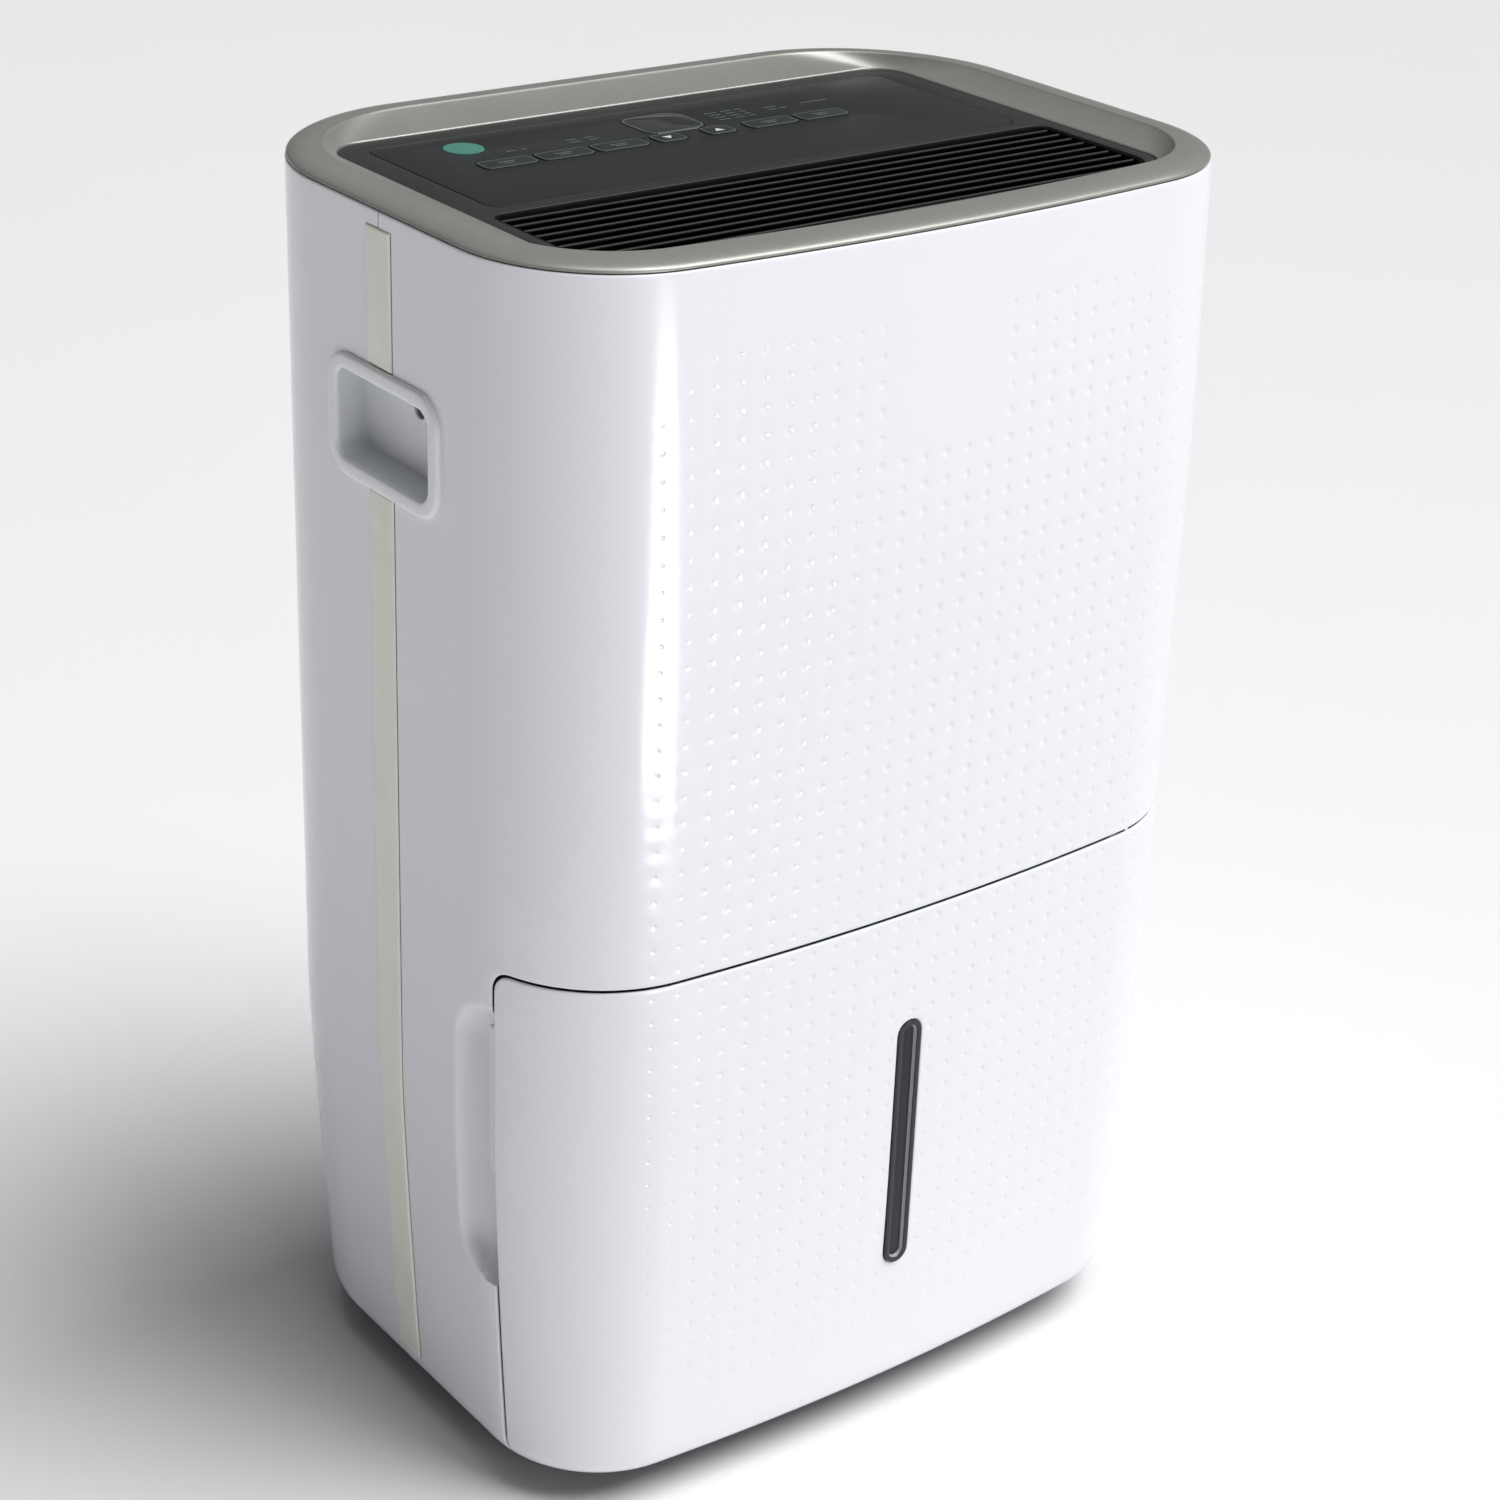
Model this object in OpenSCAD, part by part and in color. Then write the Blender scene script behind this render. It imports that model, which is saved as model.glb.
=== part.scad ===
// Portable dehumidifier: a cabinet with a bowed front, a pull-out water bucket,
// a louvred top with keys, a rear filter grille and four small casters.
// Millimetres, +Z up, front towards -Y, origin on the floor under the middle of the cabinet.

/* [Cabinet] */
// Width of the cabinet
body_w = 390; // [380:1:400]
// Depth of the cabinet at its middle, front to back
body_d = 288; // [284:1:292]
// Height of the cabinet's underside above the floor
base_z = 18; // [17:0.5:19]
// Height of the seam between the cabinet and the top ring
seam_z = 606; // [600:1:612]
// Radius of the bow of the front
bow_r = 1440; // [1300:10:1800]
// Plan radius of the front corners
front_r = 70; // [66:1:74]
// Plan radius of the rear corners
rear_r = 90; // [84:1:92]
// Thickness of the moulded walls
wall = 2.8; // [2.4:0.1:3]

/* [Top] */
// Height of the crest of the ring above the seam
crest_h = 5; // [4:0.5:6]
// Half width of the opening that holds the deck
deck_half_w = 161; // [157:1:162]
// Depth of the deck below the crest
deck_drop = 7.5; // [6:0.5:9]
// Number of louvre slats
slat_count = 9; // [8:1:10]
// Travel of the keys
key_travel = 0.5; // [0.3:0.1:0.6]

/* [Bucket] */
// Height of the seam above the bucket front
bucket_z = 285; // [280:1:290]
// Y of the bucket front's rear edge on the sides
bucket_y = -85; // [-87:1:-83]
// Width of the seams between the mouldings
seam = 1.4; // [1:0.1:2]
// Half width of the tub
tub_half_w = 160; // [155:1:162]
// Depth of the tub
tub_d = 108; // [104:1:110]
// Height of the tub's underside above the floor
tub_z = 42; // [42:0.5:44]
// Height of the tub's rim
rim_z = 258; // [252:1:260]

/* [Side grips] */
// Length of a grip's opening
grip_w = 75; // [70:1:80]
// Height of a grip's opening
grip_h = 41; // [38:1:44]
// Height of the middle of the grips above the floor
grip_z = 510; // [505:1:515]

/* [Casters] */
// Radius of the wheels
wheel_r = 12.5; // [12:0.5:12.5]
// Distance of the swivels from the middle, left and right
caster_x = 134; // [130:1:136]
// Distance of the swivels from the middle, front and back
caster_y = 88; // [84:1:90]

/* [Hidden] */
$fn = 48;

white = "#e9eaee";
charcoal = "#383a39";
silver = "#8c8c83";
steel = "#a9adb0";
copper = "#b5713f";
grey = "#6d7174";

half_w = body_w / 2;
half_d = body_d / 2;
bow_y = bow_r - half_d;
corner_x = half_w - front_r;
corner_y = bow_y - sqrt(pow(bow_r - front_r, 2) - pow(corner_x, 2));
bow_a = asin(corner_x / (bow_r - front_r));
front_back = 5.5;          // how far the front has leaned back at the top seam
skin = 0.01;               // thickness of the slices that a loft is hulled from

// The cabinet's section from the floor up: height, draw-in all round, extra set-back of the front
levels = [[base_z, 14, 0.5], [base_z + 1.5, 11.5, -2.5], [base_z + 5, 9.4, -3.8],
    [base_z + 12, 8.2, -4.6], [base_z + 30, 7.1, -4.6], [75, 5.9, -4.6], [115, 3.4, -2.9],
    [155, 1.2, -1.1], [195, 0, 0], [455, 0, 0], [525, 0, 2], [568, 0, 4],
    [seam_z, 0, front_back]];

deck_z = seam_z + crest_h - deck_drop;
deck_t = 3;
deck_front = -110;
deck_back = 106;
deck_r = 20;
louvre_front = -100;
louvre_back = -20;
louvre_half_w = 154;
louvre_front_r = 16;
louvre_back_r = 7;
film_half_w = 146;
film_back = 94;
film_front = -13;
film_t = 0.6;
key_y = 45;
key_size = [28, 12];
key_x = [-102, -72, -42, -15, 13, 43, 73];
display_at = [-2, 68];
display_size = [34, 30];
disc_at = [-106, 75];
disc_r = 9.5;

tub_front = -130;
tub_mid = tub_front + tub_d / 2;
tub_back = tub_front + tub_d;
tub_wall = 2;
bay_top = 330;
hinge_y = -76;
hinge_z = rim_z + 6;
hinge_x = 148;
bail_reach = 44;
float_x = 96;
float_y = -38;
float_z = 226;
window_z = [91, 228];
window_w = 14;

scoop_r = 30;
scoop_x = half_w + 16;
scoop_y = -82;
scoop_z = [117, 265];
strip_w = 19;
strip_z = [30, 599];
strip_proud = 0.8;
strip_sunk = 1.2;
grip_y = -3;
bezel_rim = 7.4;
bezel_proud = 2.4;
grip_depth = 14;
grip_screw_y = -11;

fan_z = 462;
fan_y = -61;
fan_r = 92;
scroll_w = 76;
shaft_r = 4;
fit = 0.05;                // radial running clearance of the shafts and pins
grille_half_w = 100;
grille_z = [338, 576];
drain_at = [-70, 300];
inlet_at = [78, 78];
stem_r = 4;
caster_trail = 7;
compressor_at = [72, 62];
pipe_risers = [[143, 62], [-143, 36]];

// ---- shared shapes ----

function arc(c, r, a0, a1, n, from = 1) =
    [for (k = [from:n]) let (a = a0 + (a1 - a0) * k / n) c + r * [cos(a), sin(a)]];

// The plan outline of the cabinet drawn in by i, with its front set back by f more
function outline(i, f) = concat(
    arc([0, bow_y + f], bow_r - i, -90 - bow_a, -90 + bow_a, 12),
    arc([corner_x, corner_y + f], front_r - i, -90 + bow_a, 0, 8),
    arc([half_w - rear_r, half_d - rear_r], rear_r - i, 0, 90, 9, 0),
    arc([rear_r - half_w, half_d - rear_r], rear_r - i, 90, 180, 9, 0),
    arc([-corner_x, corner_y + f], front_r - i, 180, 270 - bow_a, 8, 0));

// How far the side and rear walls draw in at a height
function draw_in(z) = lookup(z, [for (l = levels) [l[0], l[1]]]);

module slice(z, i, f) {
    translate([0, 0, z]) linear_extrude(skin) polygon(outline(i, f));
}

// A stack of hulled slices from a list of levels, all drawn in by inset
module loft(list, inset) {
    for (k = [0:len(list) - 2]) hull() {
        slice(list[k][0], list[k][1] + inset, list[k][2]);
        slice(list[k + 1][0] - skin, list[k + 1][1] + inset, list[k + 1][2]);
    }
}

module cabinet_solid(inset = 0) {
    loft(levels, inset);
}

// The cabinet's skin, open at the top and the bottom
module cabinet_skin() {
    first = levels[0];
    last = levels[len(levels) - 1];
    difference() {
        cabinet_solid();
        cabinet_solid(wall);
        slice_plug(first[0] - 1, first[1] + wall, first[2], 2);
        slice_plug(last[0] - 1, wall, last[2], 2);
    }
}

module slice_plug(z, i, f, h) {
    translate([0, 0, z]) linear_extrude(h) polygon(outline(i, f));
}

// Draws a shape given in Y and Z right across the cabinet
module across() {
    rotate([90, 0, 90]) linear_extrude(body_w + 60, center = true) children();
}

module rounded(w, d, r) {
    square([w - 2 * r, d], center = true);
    square([w, d - 2 * r], center = true);
    for (x = [-1, 1], y = [-1, 1]) translate([x * (w / 2 - r), y * (d / 2 - r)]) circle(r);
}

module block(x, y, z) {
    translate([x[0], y[0], z[0]]) cube([x[1] - x[0], y[1] - y[0], z[1] - z[0]]);
}

// The bucket front from the side, with its rounded upper rear corner
module bucket_side(grow) {
    r = 9 + grow;
    top = bucket_z + grow;
    back = bucket_y + grow;
    translate([-half_d - 20, 0]) square([half_d + 20 + back, top - r]);
    translate([-half_d - 20, 0]) square([half_d + 20 + back - r, top]);
    translate([back - r, top - r]) circle(r);
}

// The finger scoop beside the bucket's edge
module scoop(side, grow) {
    half_chord = sqrt(pow(scoop_r, 2) - pow(scoop_x - half_w, 2));
    hull() for (z = [scoop_z[0] + half_chord, scoop_z[1] - half_chord])
        translate([side * scoop_x, scoop_y, z]) sphere(scoop_r + grow, $fn = 40);
}

// A box with rounded ends lying across the side wall, for the grips
module grip_block(side, w, h, r, x0, x1) {
    translate([side * (x0 + x1) / 2, grip_y, grip_z]) rotate([90, 0, 90])
        linear_extrude(x1 - x0, center = true) rounded(w, h, r);
}

module strip_space(side, grow) {
    x = side > 0 ? [half_w - 30, half_w + 20] : [-half_w - 20, 30 - half_w];
    y = strip_w / 2 + grow;
    block(x, [-y, y], [strip_z[0] - grow, strip_z[1] + grow]);
}

module wall_cuts() {
    for (s = [-1, 1]) {
        grip_block(s, grip_w + 6, grip_h + 6, 12, half_w - 40, half_w + 10);
        difference() {
            strip_space(s, 0.3);
            cabinet_solid(strip_sunk + 0.1);
        }
    }
}

module deck_outline(grow) {
    intersection() {
        translate([0, (deck_front + deck_back) / 2])
            rounded(2 * (deck_half_w + grow), deck_back - deck_front + 2 * grow, deck_r + grow);
        translate([0, deck_front + bow_r - grow]) circle(bow_r, $fn = 360);
    }
}

module tube(r, length, bore = 0) {
    difference() {
        cylinder(r = r, h = length);
        if (bore > 0) translate([0, 0, -1]) cylinder(r = bore, h = length + 2);
    }
}

// A straight rod between two points, with a ball a little fatter than it at the far end
module rod(a, b, r) {
    v = b - a;
    translate(a) rotate([0, acos(v[2] / norm(v)), atan2(v[1], v[0])]) cylinder(r = r, h = norm(v));
    translate(b) sphere(r * 1.04);
}

module pipe(points, r) {
    for (k = [0:len(points) - 2]) rod(points[k], points[k + 1], r);
}

// ---- cabinet ----

module base_pan() {
    top = tub_z - 3;
    plate = 2.4;
    bore_top = base_z + 20.5;
    color(grey) difference() {
        union() {
            difference() {
                slice_plug(base_z, 18, 0, top - base_z);
                slice_plug(base_z - 1, 20.5, 0, top - plate - base_z + 1);
            }
            caster_places() translate([0, 0, base_z + 10.6]) cylinder(r = 9, h = 13);
            for (s = [-1, 1]) block([s * 118 - 5, s * 118 + 5], [-122, -26], [top - 1, tub_z - 0.3]);
        }
        caster_places() translate([0, 0, base_z]) cylinder(r = stem_r + fit, h = bore_top - base_z);
    }
}

module caster_places() {
    for (x = [-1, 1], y = [-1, 1]) translate([x * caster_x, y * caster_y, 0]) children();
}

module front_cabinet() {
    color(white) difference() {
        union() {
            intersection() {
                cabinet_skin();
                across() difference() {
                    translate([-half_d - 10, 0]) square([half_d + 10 - seam / 4, seam_z + 10]);
                    bucket_side(seam);
                }
            }
            for (s = [-1, 1]) intersection() {
                cabinet_solid(0.5);
                scoop(s, 2.4);
                block([-half_w, half_w], [bucket_y + seam + 0.4, 0], scoop_z);
            }
        }
        for (s = [-1, 1]) scoop(s, 0);
        wall_cuts();
    }
}

module rear_cabinet() {
    color(white) difference() {
        intersection() {
            cabinet_skin();
            block([-half_w - 9, half_w + 9], [seam / 4, half_d + 9], [0, seam_z + 9]);
        }
        wall_cuts();
        block([-grille_half_w, grille_half_w], [half_d - 20, half_d + 9], grille_z);
        for (k = [0:6], s = [-1, 1]) block([s * 22 - 18, s * 22 + 18],
            [half_d - 20, half_d + 9], [130 + k * 12, 134.5 + k * 12]);
        translate([drain_at[0], half_d + 9, drain_at[1]]) rotate([90, 0, 0]) cylinder(r = 24.2, h = 30);
        translate([inlet_at[0], half_d + 9, inlet_at[1]]) rotate([90, 0, 0]) cylinder(r = 9, h = 30);
    }
}

module trim_strip(side) {
    color("#dcdccf") difference() {
        intersection() {
            cabinet_solid(-strip_proud);
            strip_space(side, 0);
        }
        cabinet_solid(strip_sunk);
        grip_block(side, grip_w + 2 * bezel_rim + 3, grip_h + 2 * bezel_rim + 3, 19,
            half_w - 40, half_w + 9);
    }
}

module handle_cup(side) {
    inner = half_w - grip_depth;
    color(white) difference() {
        union() {
            grip_block(side, grip_w + 2 * bezel_rim, grip_h + 2 * bezel_rim, 16,
                half_w + 0.2, half_w + bezel_proud);
            grip_block(side, grip_w + 5, grip_h + 5, 11, inner - 2.2, half_w + 1);
        }
        grip_block(side, grip_w, grip_h, 9, inner, half_w + 9);
        translate([side * (inner - 4), grip_screw_y, grip_z + grip_h / 2 - 9])
            rotate([0, 90, 0]) cylinder(r = 2.2, h = 8, center = true);
    }
}

module handle_screws() {
    color(steel) for (s = [-1, 1])
        translate([s * (half_w - grip_depth), grip_screw_y, grip_z + grip_h / 2 - 9])
            rotate([0, -s * 90, 0]) difference() {
                union() {
                    translate([0, 0, -1.9]) cylinder(r = 3.4, h = 1.8);
                    translate([0, 0, -1]) cylinder(r = 2.1, h = 11);
                }
                for (a = [0, 90]) rotate(a) translate([-2, -0.4, -2.5]) cube([4, 0.8, 1.5]);
            }
}

// ---- top ----

module top_ring() {
    z0 = seam_z + 0.8;
    crest = seam_z + crest_h;
    rise = crest_h - 0.8;
    steps = 8;
    shoulder = 16;
    ring_levels = [for (k = [0:steps]) let (a = 90 * k / steps)
        [z0 + rise * sin(a), shoulder * (1 - cos(a)) + 0.3, front_back]];
    color(silver) difference() {
        union() {
            loft(ring_levels, 0);
            slice_plug(seam_z - 8, wall + 0.4, front_back, 9);
        }
        hull() {
            slice(crest, shoulder, front_back);
            translate([0, 0, deck_z]) linear_extrude(skin) deck_outline(0.2);
        }
        translate([0, 0, seam_z - 20]) linear_extrude(40) deck_outline(0.2);
        slice_plug(seam_z - 9, wall + 2.8, front_back, 9 + deck_z - deck_t - seam_z);
    }
}

module top_deck() {
    color(charcoal) difference() {
        translate([0, 0, deck_z - deck_t]) linear_extrude(deck_t) difference() {
            deck_outline(-0.2);
            louvre_outline(0);
            translate(disc_at) circle(disc_r + 0.2);
            translate(display_at) rounded(display_size[0] + 0.4, display_size[1] + 0.4, 8);
            for (k = [0:6]) key_outline(k, 0.35);
        }
        translate([0, 0, deck_z - film_t]) linear_extrude(2) film_outline(0.15);
    }
    color(charcoal) translate([0, 0, deck_z - deck_t - 2.6]) linear_extrude(2.55) difference() {
        deck_outline(6);
        deck_outline(-2.5);
        louvre_outline(0);
    }
}

module louvre_outline(grow) {
    half = louvre_half_w + grow;
    r0 = louvre_front_r + grow;
    r1 = louvre_back_r + grow;
    right = concat(
        arc([half - r0, louvre_front - grow + r0], r0, -90, 0, 8, 0),
        arc([half - r1, louvre_back + grow - r1], r1, 0, 90, 5, 0));
    polygon(concat(right, [for (k = [len(right) - 1:-1:0]) [-right[k][0], right[k][1]]]));
}

module film_outline(grow) {
    translate([0, (film_front + film_back) / 2])
        rounded(2 * (film_half_w + grow), film_back - film_front + 2 * grow, 8);
}

module key_outline(k, grow) {
    w = (k == 3 || k == 4) ? 16 : key_size[0];
    translate([key_x[k], key_y]) rounded(w + 2 * grow, key_size[1] + 2 * grow, 3);
}

module louvre_grille() {
    depth = louvre_back - louvre_front;
    pitch = depth / (slat_count + 0.5);
    color("#161717") {
        translate([0, 0, deck_z - 8]) linear_extrude(7.6) difference() {
            louvre_outline(-0.3);
            louvre_outline(-2.3);
        }
        intersection() {
            for (k = [1:slat_count]) translate([0, louvre_front + k * pitch, deck_z - 4.4])
                rotate([38, 0, 0]) cube([2 * louvre_half_w, 1.6, 7], center = true);
            translate([0, 0, deck_z - 9]) linear_extrude(9) louvre_outline(-1.5);
        }
        for (x = [-75, 0, 75]) block([x - 0.9, x + 0.9], [louvre_front + 1, louvre_back - 1],
            [deck_z - 8, deck_z - 5.5]);
    }
}

module control_film() {
    color("#2f3131") translate([0, 0, deck_z - film_t]) linear_extrude(film_t) difference() {
        film_outline(0);
        translate(disc_at) circle(disc_r + 0.2);
        translate(display_at) rounded(display_size[0] + 0.4, display_size[1] + 0.4, 8);
        for (k = [0:6]) key_outline(k, 0.35);
    }
}

module display_window() {
    color("#1d2120") translate([display_at[0], display_at[1], deck_z - deck_t])
        linear_extrude(deck_t + 0.2) rounded(display_size[0], display_size[1], 8);
}

module power_disc() {
    color("#4b917d") translate([disc_at[0], disc_at[1], deck_z - deck_t])
        cylinder(r = disc_r, h = deck_t + 0.3);
}

// A key: a low cap with a flange under the deck that stops it lifting out
module key(k) {
    w = (k == 3 || k == 4) ? 16 : key_size[0];
    color("#3a3c3c") {
        translate([0, 0, deck_z - deck_t - 0.2]) linear_extrude(deck_t + 0.2 + key_travel)
            key_outline(k, 0);
        translate([key_x[k], key_y, deck_z - deck_t - 1.2]) linear_extrude(1)
            rounded(w + 2, key_size[1] + 2, 2);
    }
}

module control_board() {
    z = deck_z - deck_t - 12;
    color("#2f6b3c") block([-124, 92], [32, 88], [z, z + 1.6]);
    color("#202020") for (k = [0:6])
        block([key_x[k] - 3, key_x[k] + 3], [key_y - 3, key_y + 3], [z + 1.6, z + 9.5]);
    color("#303030") block([display_at[0] - 14, display_at[0] + 14],
        [display_at[1] - 11, display_at[1] + 11], [z + 1.6, z + 10]);
}

// ---- inside ----

module bay_partition() {
    back = tub_back + 10;
    side = half_w - 18;
    color("#c9ccce") difference() {
        union() {
            block([-side, side], [back, back + 2.4], [tub_z - 3, bay_top + 1]);
            intersection() {
                slice_plug(bay_top, wall + 5, 0, 2.6);
                block([-side, side], [-half_d, 104], [bay_top - 1, bay_top + 4]);
            }
        }
        block([-40, 40], [-92, -60], [bay_top - 1, bay_top + 4]);
        for (p = pipe_risers) translate([p[0], p[1], bay_top - 1]) cylinder(r = 6, h = 5);
    }
}

module drip_tray() {
    z = bay_top + 3;
    color("#dfe2e4") difference() {
        union() {
            block([-132, 132], [12, 98], [z, z + 12]);
            block([-38, 38], [-96, 12], [z, z + 12]);
        }
        block([-130, 130], [14, 96], [z + 2, z + 13]);
        block([-36, 36], [-94, 15], [z + 2, z + 13]);
        translate([0, -76, z - 1]) cylinder(r = 8, h = 4);
    }
}

// A fin pack seen from above: fins on both sides of a thin spine, as one outline
function comb(count, pitch, fin, reach, spine) = concat(
    [for (k = [0:count - 1], p = [[0, spine], [0, reach], [fin, reach], [fin, spine]])
        [k * pitch + p[0], p[1]]],
    [for (k = [count - 1:-1:0], p = [[fin, -spine], [fin, -reach], [0, -reach], [0, -spine]])
        [k * pitch + p[0], p[1]]]);

module coil(y, finish, metal) {
    count = 48;
    pitch = 5;
    fin = 0.6;
    reach = 15;
    z0 = bay_top + 7;
    z1 = 574;
    width = pitch * (count - 1) + fin;
    color(finish) {
        translate([-width / 2, y, z0]) linear_extrude(z1 - z0)
            polygon(comb(count, pitch, fin, reach, 0.8));
        for (s = [-1, 1]) block([s * (width / 2 + 1) - 1.2, s * (width / 2 + 1) + 1.2],
            [y - reach - 1, y + reach + 1], [z0 - 2, z1 + 1]);
    }
    rows = floor((z1 - z0) / 50);
    color(metal) for (k = [0:rows - 1], s = [-1, 1])
        translate([s * (width / 2 + 1.6), y, z0 + 25 + k * 50]) rotate([90, 0, 0])
            rotate_extrude($fn = 32) translate([11, 0]) circle(3.6);
}

module evaporator() {
    coil(74, steel, copper);
}

module condenser() {
    coil(36, "#4a4e50", copper);
}

module compressor() {
    color("#1f2122") translate([compressor_at[0], compressor_at[1], 0]) {
        difference() {
            translate([0, 0, 54]) rotate_extrude($fn = 96) polygon(concat([[0, 0], [50, 0], [56, 8]],
                arc([36, 122], 20, 0, 90, 6, 0), [[0, 142]]));
            translate([0, 0, 53]) cylinder(r = 46, h = 128);
        }
        difference() {
            translate([0, 0, 50]) linear_extrude(4) rounded(128, 110, 20);
            for (a = [0, 90, 180, 270]) rotate(a) foot_place() cylinder(r = 4, h = 90);
        }
        translate([0, 0, 195]) linear_extrude(14) rounded(30, 22, 4);
    }
}

module foot_place() {
    translate([45, 45, 0]) children();
}

module compressor_mounts() {
    color("#151515") translate([compressor_at[0], compressor_at[1], 0])
        for (a = [0, 90, 180, 270]) rotate(a) foot_place() {
            translate([0, 0, tub_z - 3]) cylinder(r = 8, h = 11);
            cap_z = 50;
            translate([0, 0, cap_z - 1]) cylinder(r = 3.9, h = 6);
        }
}

module refrigerant_pipes() {
    x = compressor_at[0];
    y = compressor_at[1];
    hot = pipe_risers[0];
    cold = pipe_risers[1];
    color(copper) {
        pipe([[x + 30, y, 196.1], [x + 30, y, 240], [hot[0], hot[1], 280], [hot[0], hot[1], 440],
            [137, 70, 440]], 3.2);
        pipe([[x - 30, y - 20, 196.1], [x - 30, y - 20, 262], [cold[0], cold[1], 300],
            [cold[0], cold[1], 440], [-137, 34, 440]], 2.6);
    }
}

module scroll_housing() {
    y0 = fan_y - scroll_w / 2;
    y1 = fan_y + scroll_w / 2;
    top = deck_z - 9;
    color("#d4d6d7") difference() {
        union() {
            translate([0, y1, fan_z]) rotate([90, 0, 0]) cylinder(r = 116, h = scroll_w, $fn = 96);
            block([-116, 146], [y0, y1], [fan_z + 20, top]);
            block([-146, 0], [y0, y1], [fan_z + 96, top]);
        }
        translate([0, y1 - 2, fan_z]) rotate([90, 0, 0]) cylinder(r = 114, h = scroll_w - 4, $fn = 96);
        block([-114, 144], [y0 + 2, y1 - 2], [fan_z + 22, top + 1]);
        block([-144, 0], [y0 + 2, y1 - 2], [fan_z + 98, top + 1]);
        translate([0, y1 + 1, fan_z]) rotate([90, 0, 0]) cylinder(r = 78, h = 6);
        translate([0, y0 + 4, fan_z]) rotate([90, 0, 0]) cylinder(r = 12, h = 6);
    }
}

module fan_wheel() {
    blades = 30;
    back = fan_y - 30;
    color("#25282a") translate([0, back, fan_z]) rotate([-90, 0, 0]) {
        difference() {
            union() {
                cylinder(r = fan_r, h = 2);
                cylinder(r = 13, h = 30);
            }
            translate([0, 0, -1]) cylinder(r = shaft_r + fit, h = 40);
        }
        translate([0, 0, 56]) difference() {
            cylinder(r = fan_r, h = 3);
            translate([0, 0, -1]) cylinder(r = fan_r - 9, h = 5);
        }
        for (k = [0:blades - 1]) rotate(k * 360 / blades) translate([fan_r - 8, 0, 1])
            rotate(35) translate([-7, -0.7, 0]) cube([14, 1.4, 56]);
    }
}

module fan_motor() {
    color(steel) translate([0, fan_y - scroll_w / 2 - 0.3, fan_z]) rotate([90, 0, 0]) {
        cylinder(r = 42, h = 24);
        translate([0, 0, 23]) cylinder(r = 34, h = 8);
        translate([0, 0, -45]) cylinder(r = shaft_r, h = 46);
        for (a = [45, 135, 225, 315]) rotate(a) translate([46, 0, 0]) cylinder(r = 7, h = 5);
    }
}

module electric_box() {
    color("#8f9499") difference() {
        block([-150, -50], [30, 104], [54, 190]);
        block([-148, -52], [28, 102], [56, 188]);
    }
    color("#8f9499") for (x = [-140, -60]) block([x - 4, x + 4], [60, 68], [tub_z - 3, 54]);
    color("#c9cfd3") translate([-75, 66, 56]) cylinder(r = 18, h = 74);
    color("#2f6b3c") block([-144, -100], [96, 98], [62, 182]);
}

module level_switch() {
    color("#e8e8e0") block([float_x - 14, float_x + 14], [-112, -98], [bay_top - 26, bay_top]);
}

module cord_inlet() {
    z = inlet_at[1];
    color("#101010") translate([inlet_at[0], half_d - draw_in(z), z]) rotate([-90, 0, 0])
        difference() {
            union() {
                translate([0, 0, 0.9]) cylinder(r = 13, h = 2.1);
                translate([0, 0, -12]) cylinder(r = 8.6, h = 13.5);
                translate([0, 0, -12]) cylinder(r = 12, h = 8);
            }
            translate([0, 0, -13]) cylinder(r = 4, h = 17);
        }
}

// A recessed cup in the rear wall with the hose spigot inside it
module drain_port() {
    color(white) translate([drain_at[0], half_d, drain_at[1]]) rotate([-90, 0, 0]) difference() {
        union() {
            difference() {
                translate([0, 0, -16]) cylinder(r = 23.8, h = 15.6);
                translate([0, 0, -14]) cylinder(r = 21.8, h = 20);
            }
            translate([0, 0, -6]) tube(28, 2.9, 23);
            translate([0, 0, -30]) cylinder(r = 10, h = 26);
        }
        translate([0, 0, -31]) cylinder(r = 7, h = 40);
    }
}

module drain_cap() {
    color("#d8dadd") translate([drain_at[0], half_d, drain_at[1]]) rotate([-90, 0, 0]) difference() {
        union() {
            translate([0, 0, -12.5]) cylinder(r = 13, h = 11.5);
            for (a = [0:30:330]) rotate(a) translate([12.6, 0, -12.5]) cylinder(r = 1.2, h = 11.5);
        }
        translate([0, 0, -14]) cylinder(r = 10.3, h = 10.5);
    }
}

module rear_screws() {
    color(steel) for (s = [-1, 1], z = [42, 236, 592])
        translate([s * 88, half_d - draw_in(z) + 0.3, z]) rotate([-90, 0, 0]) difference() {
            cylinder(r = 4, h = 1.3);
            for (a = [0, 90]) rotate(a) translate([-2.2, -0.4, 0.6]) cube([4.4, 0.8, 2]);
        }
}

module filter_grille() {
    z0 = grille_z[0] + 0.8;
    z1 = grille_z[1] - 0.8;
    x = grille_half_w - 0.8;
    pitch = 10;
    bars = floor((z1 - z0 - 16) / pitch);
    color(white) {
        difference() {
            block([-x, x], [half_d - 11, half_d + 1.5], [z0, z1]);
            block([-x + 7, x - 7], [half_d - 12, half_d + 3], [z0 + 7, z1 - 7]);
            block([-22, 22], [half_d - 4, half_d + 3], [z1 - 5, z1 + 2]);
        }
        for (k = [1:bars]) block([-x + 6, x - 6], [half_d - 5, half_d],
            [z0 + 7 + k * pitch - 4, z0 + 7 + k * pitch - 2]);
        for (s = [-45, 45]) block([s - 1.5, s + 1.5], [half_d - 7.5, half_d - 4.5], [z0 + 6, z1 - 6]);
    }
}

module filter_net() {
    x = grille_half_w - 8.2;
    color("#3d4448") block([-x, x], [half_d - 10.4, half_d - 8.4],
        [grille_z[0] + 8.2, grille_z[1] - 8.2]);
}

// ---- bucket ----

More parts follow.
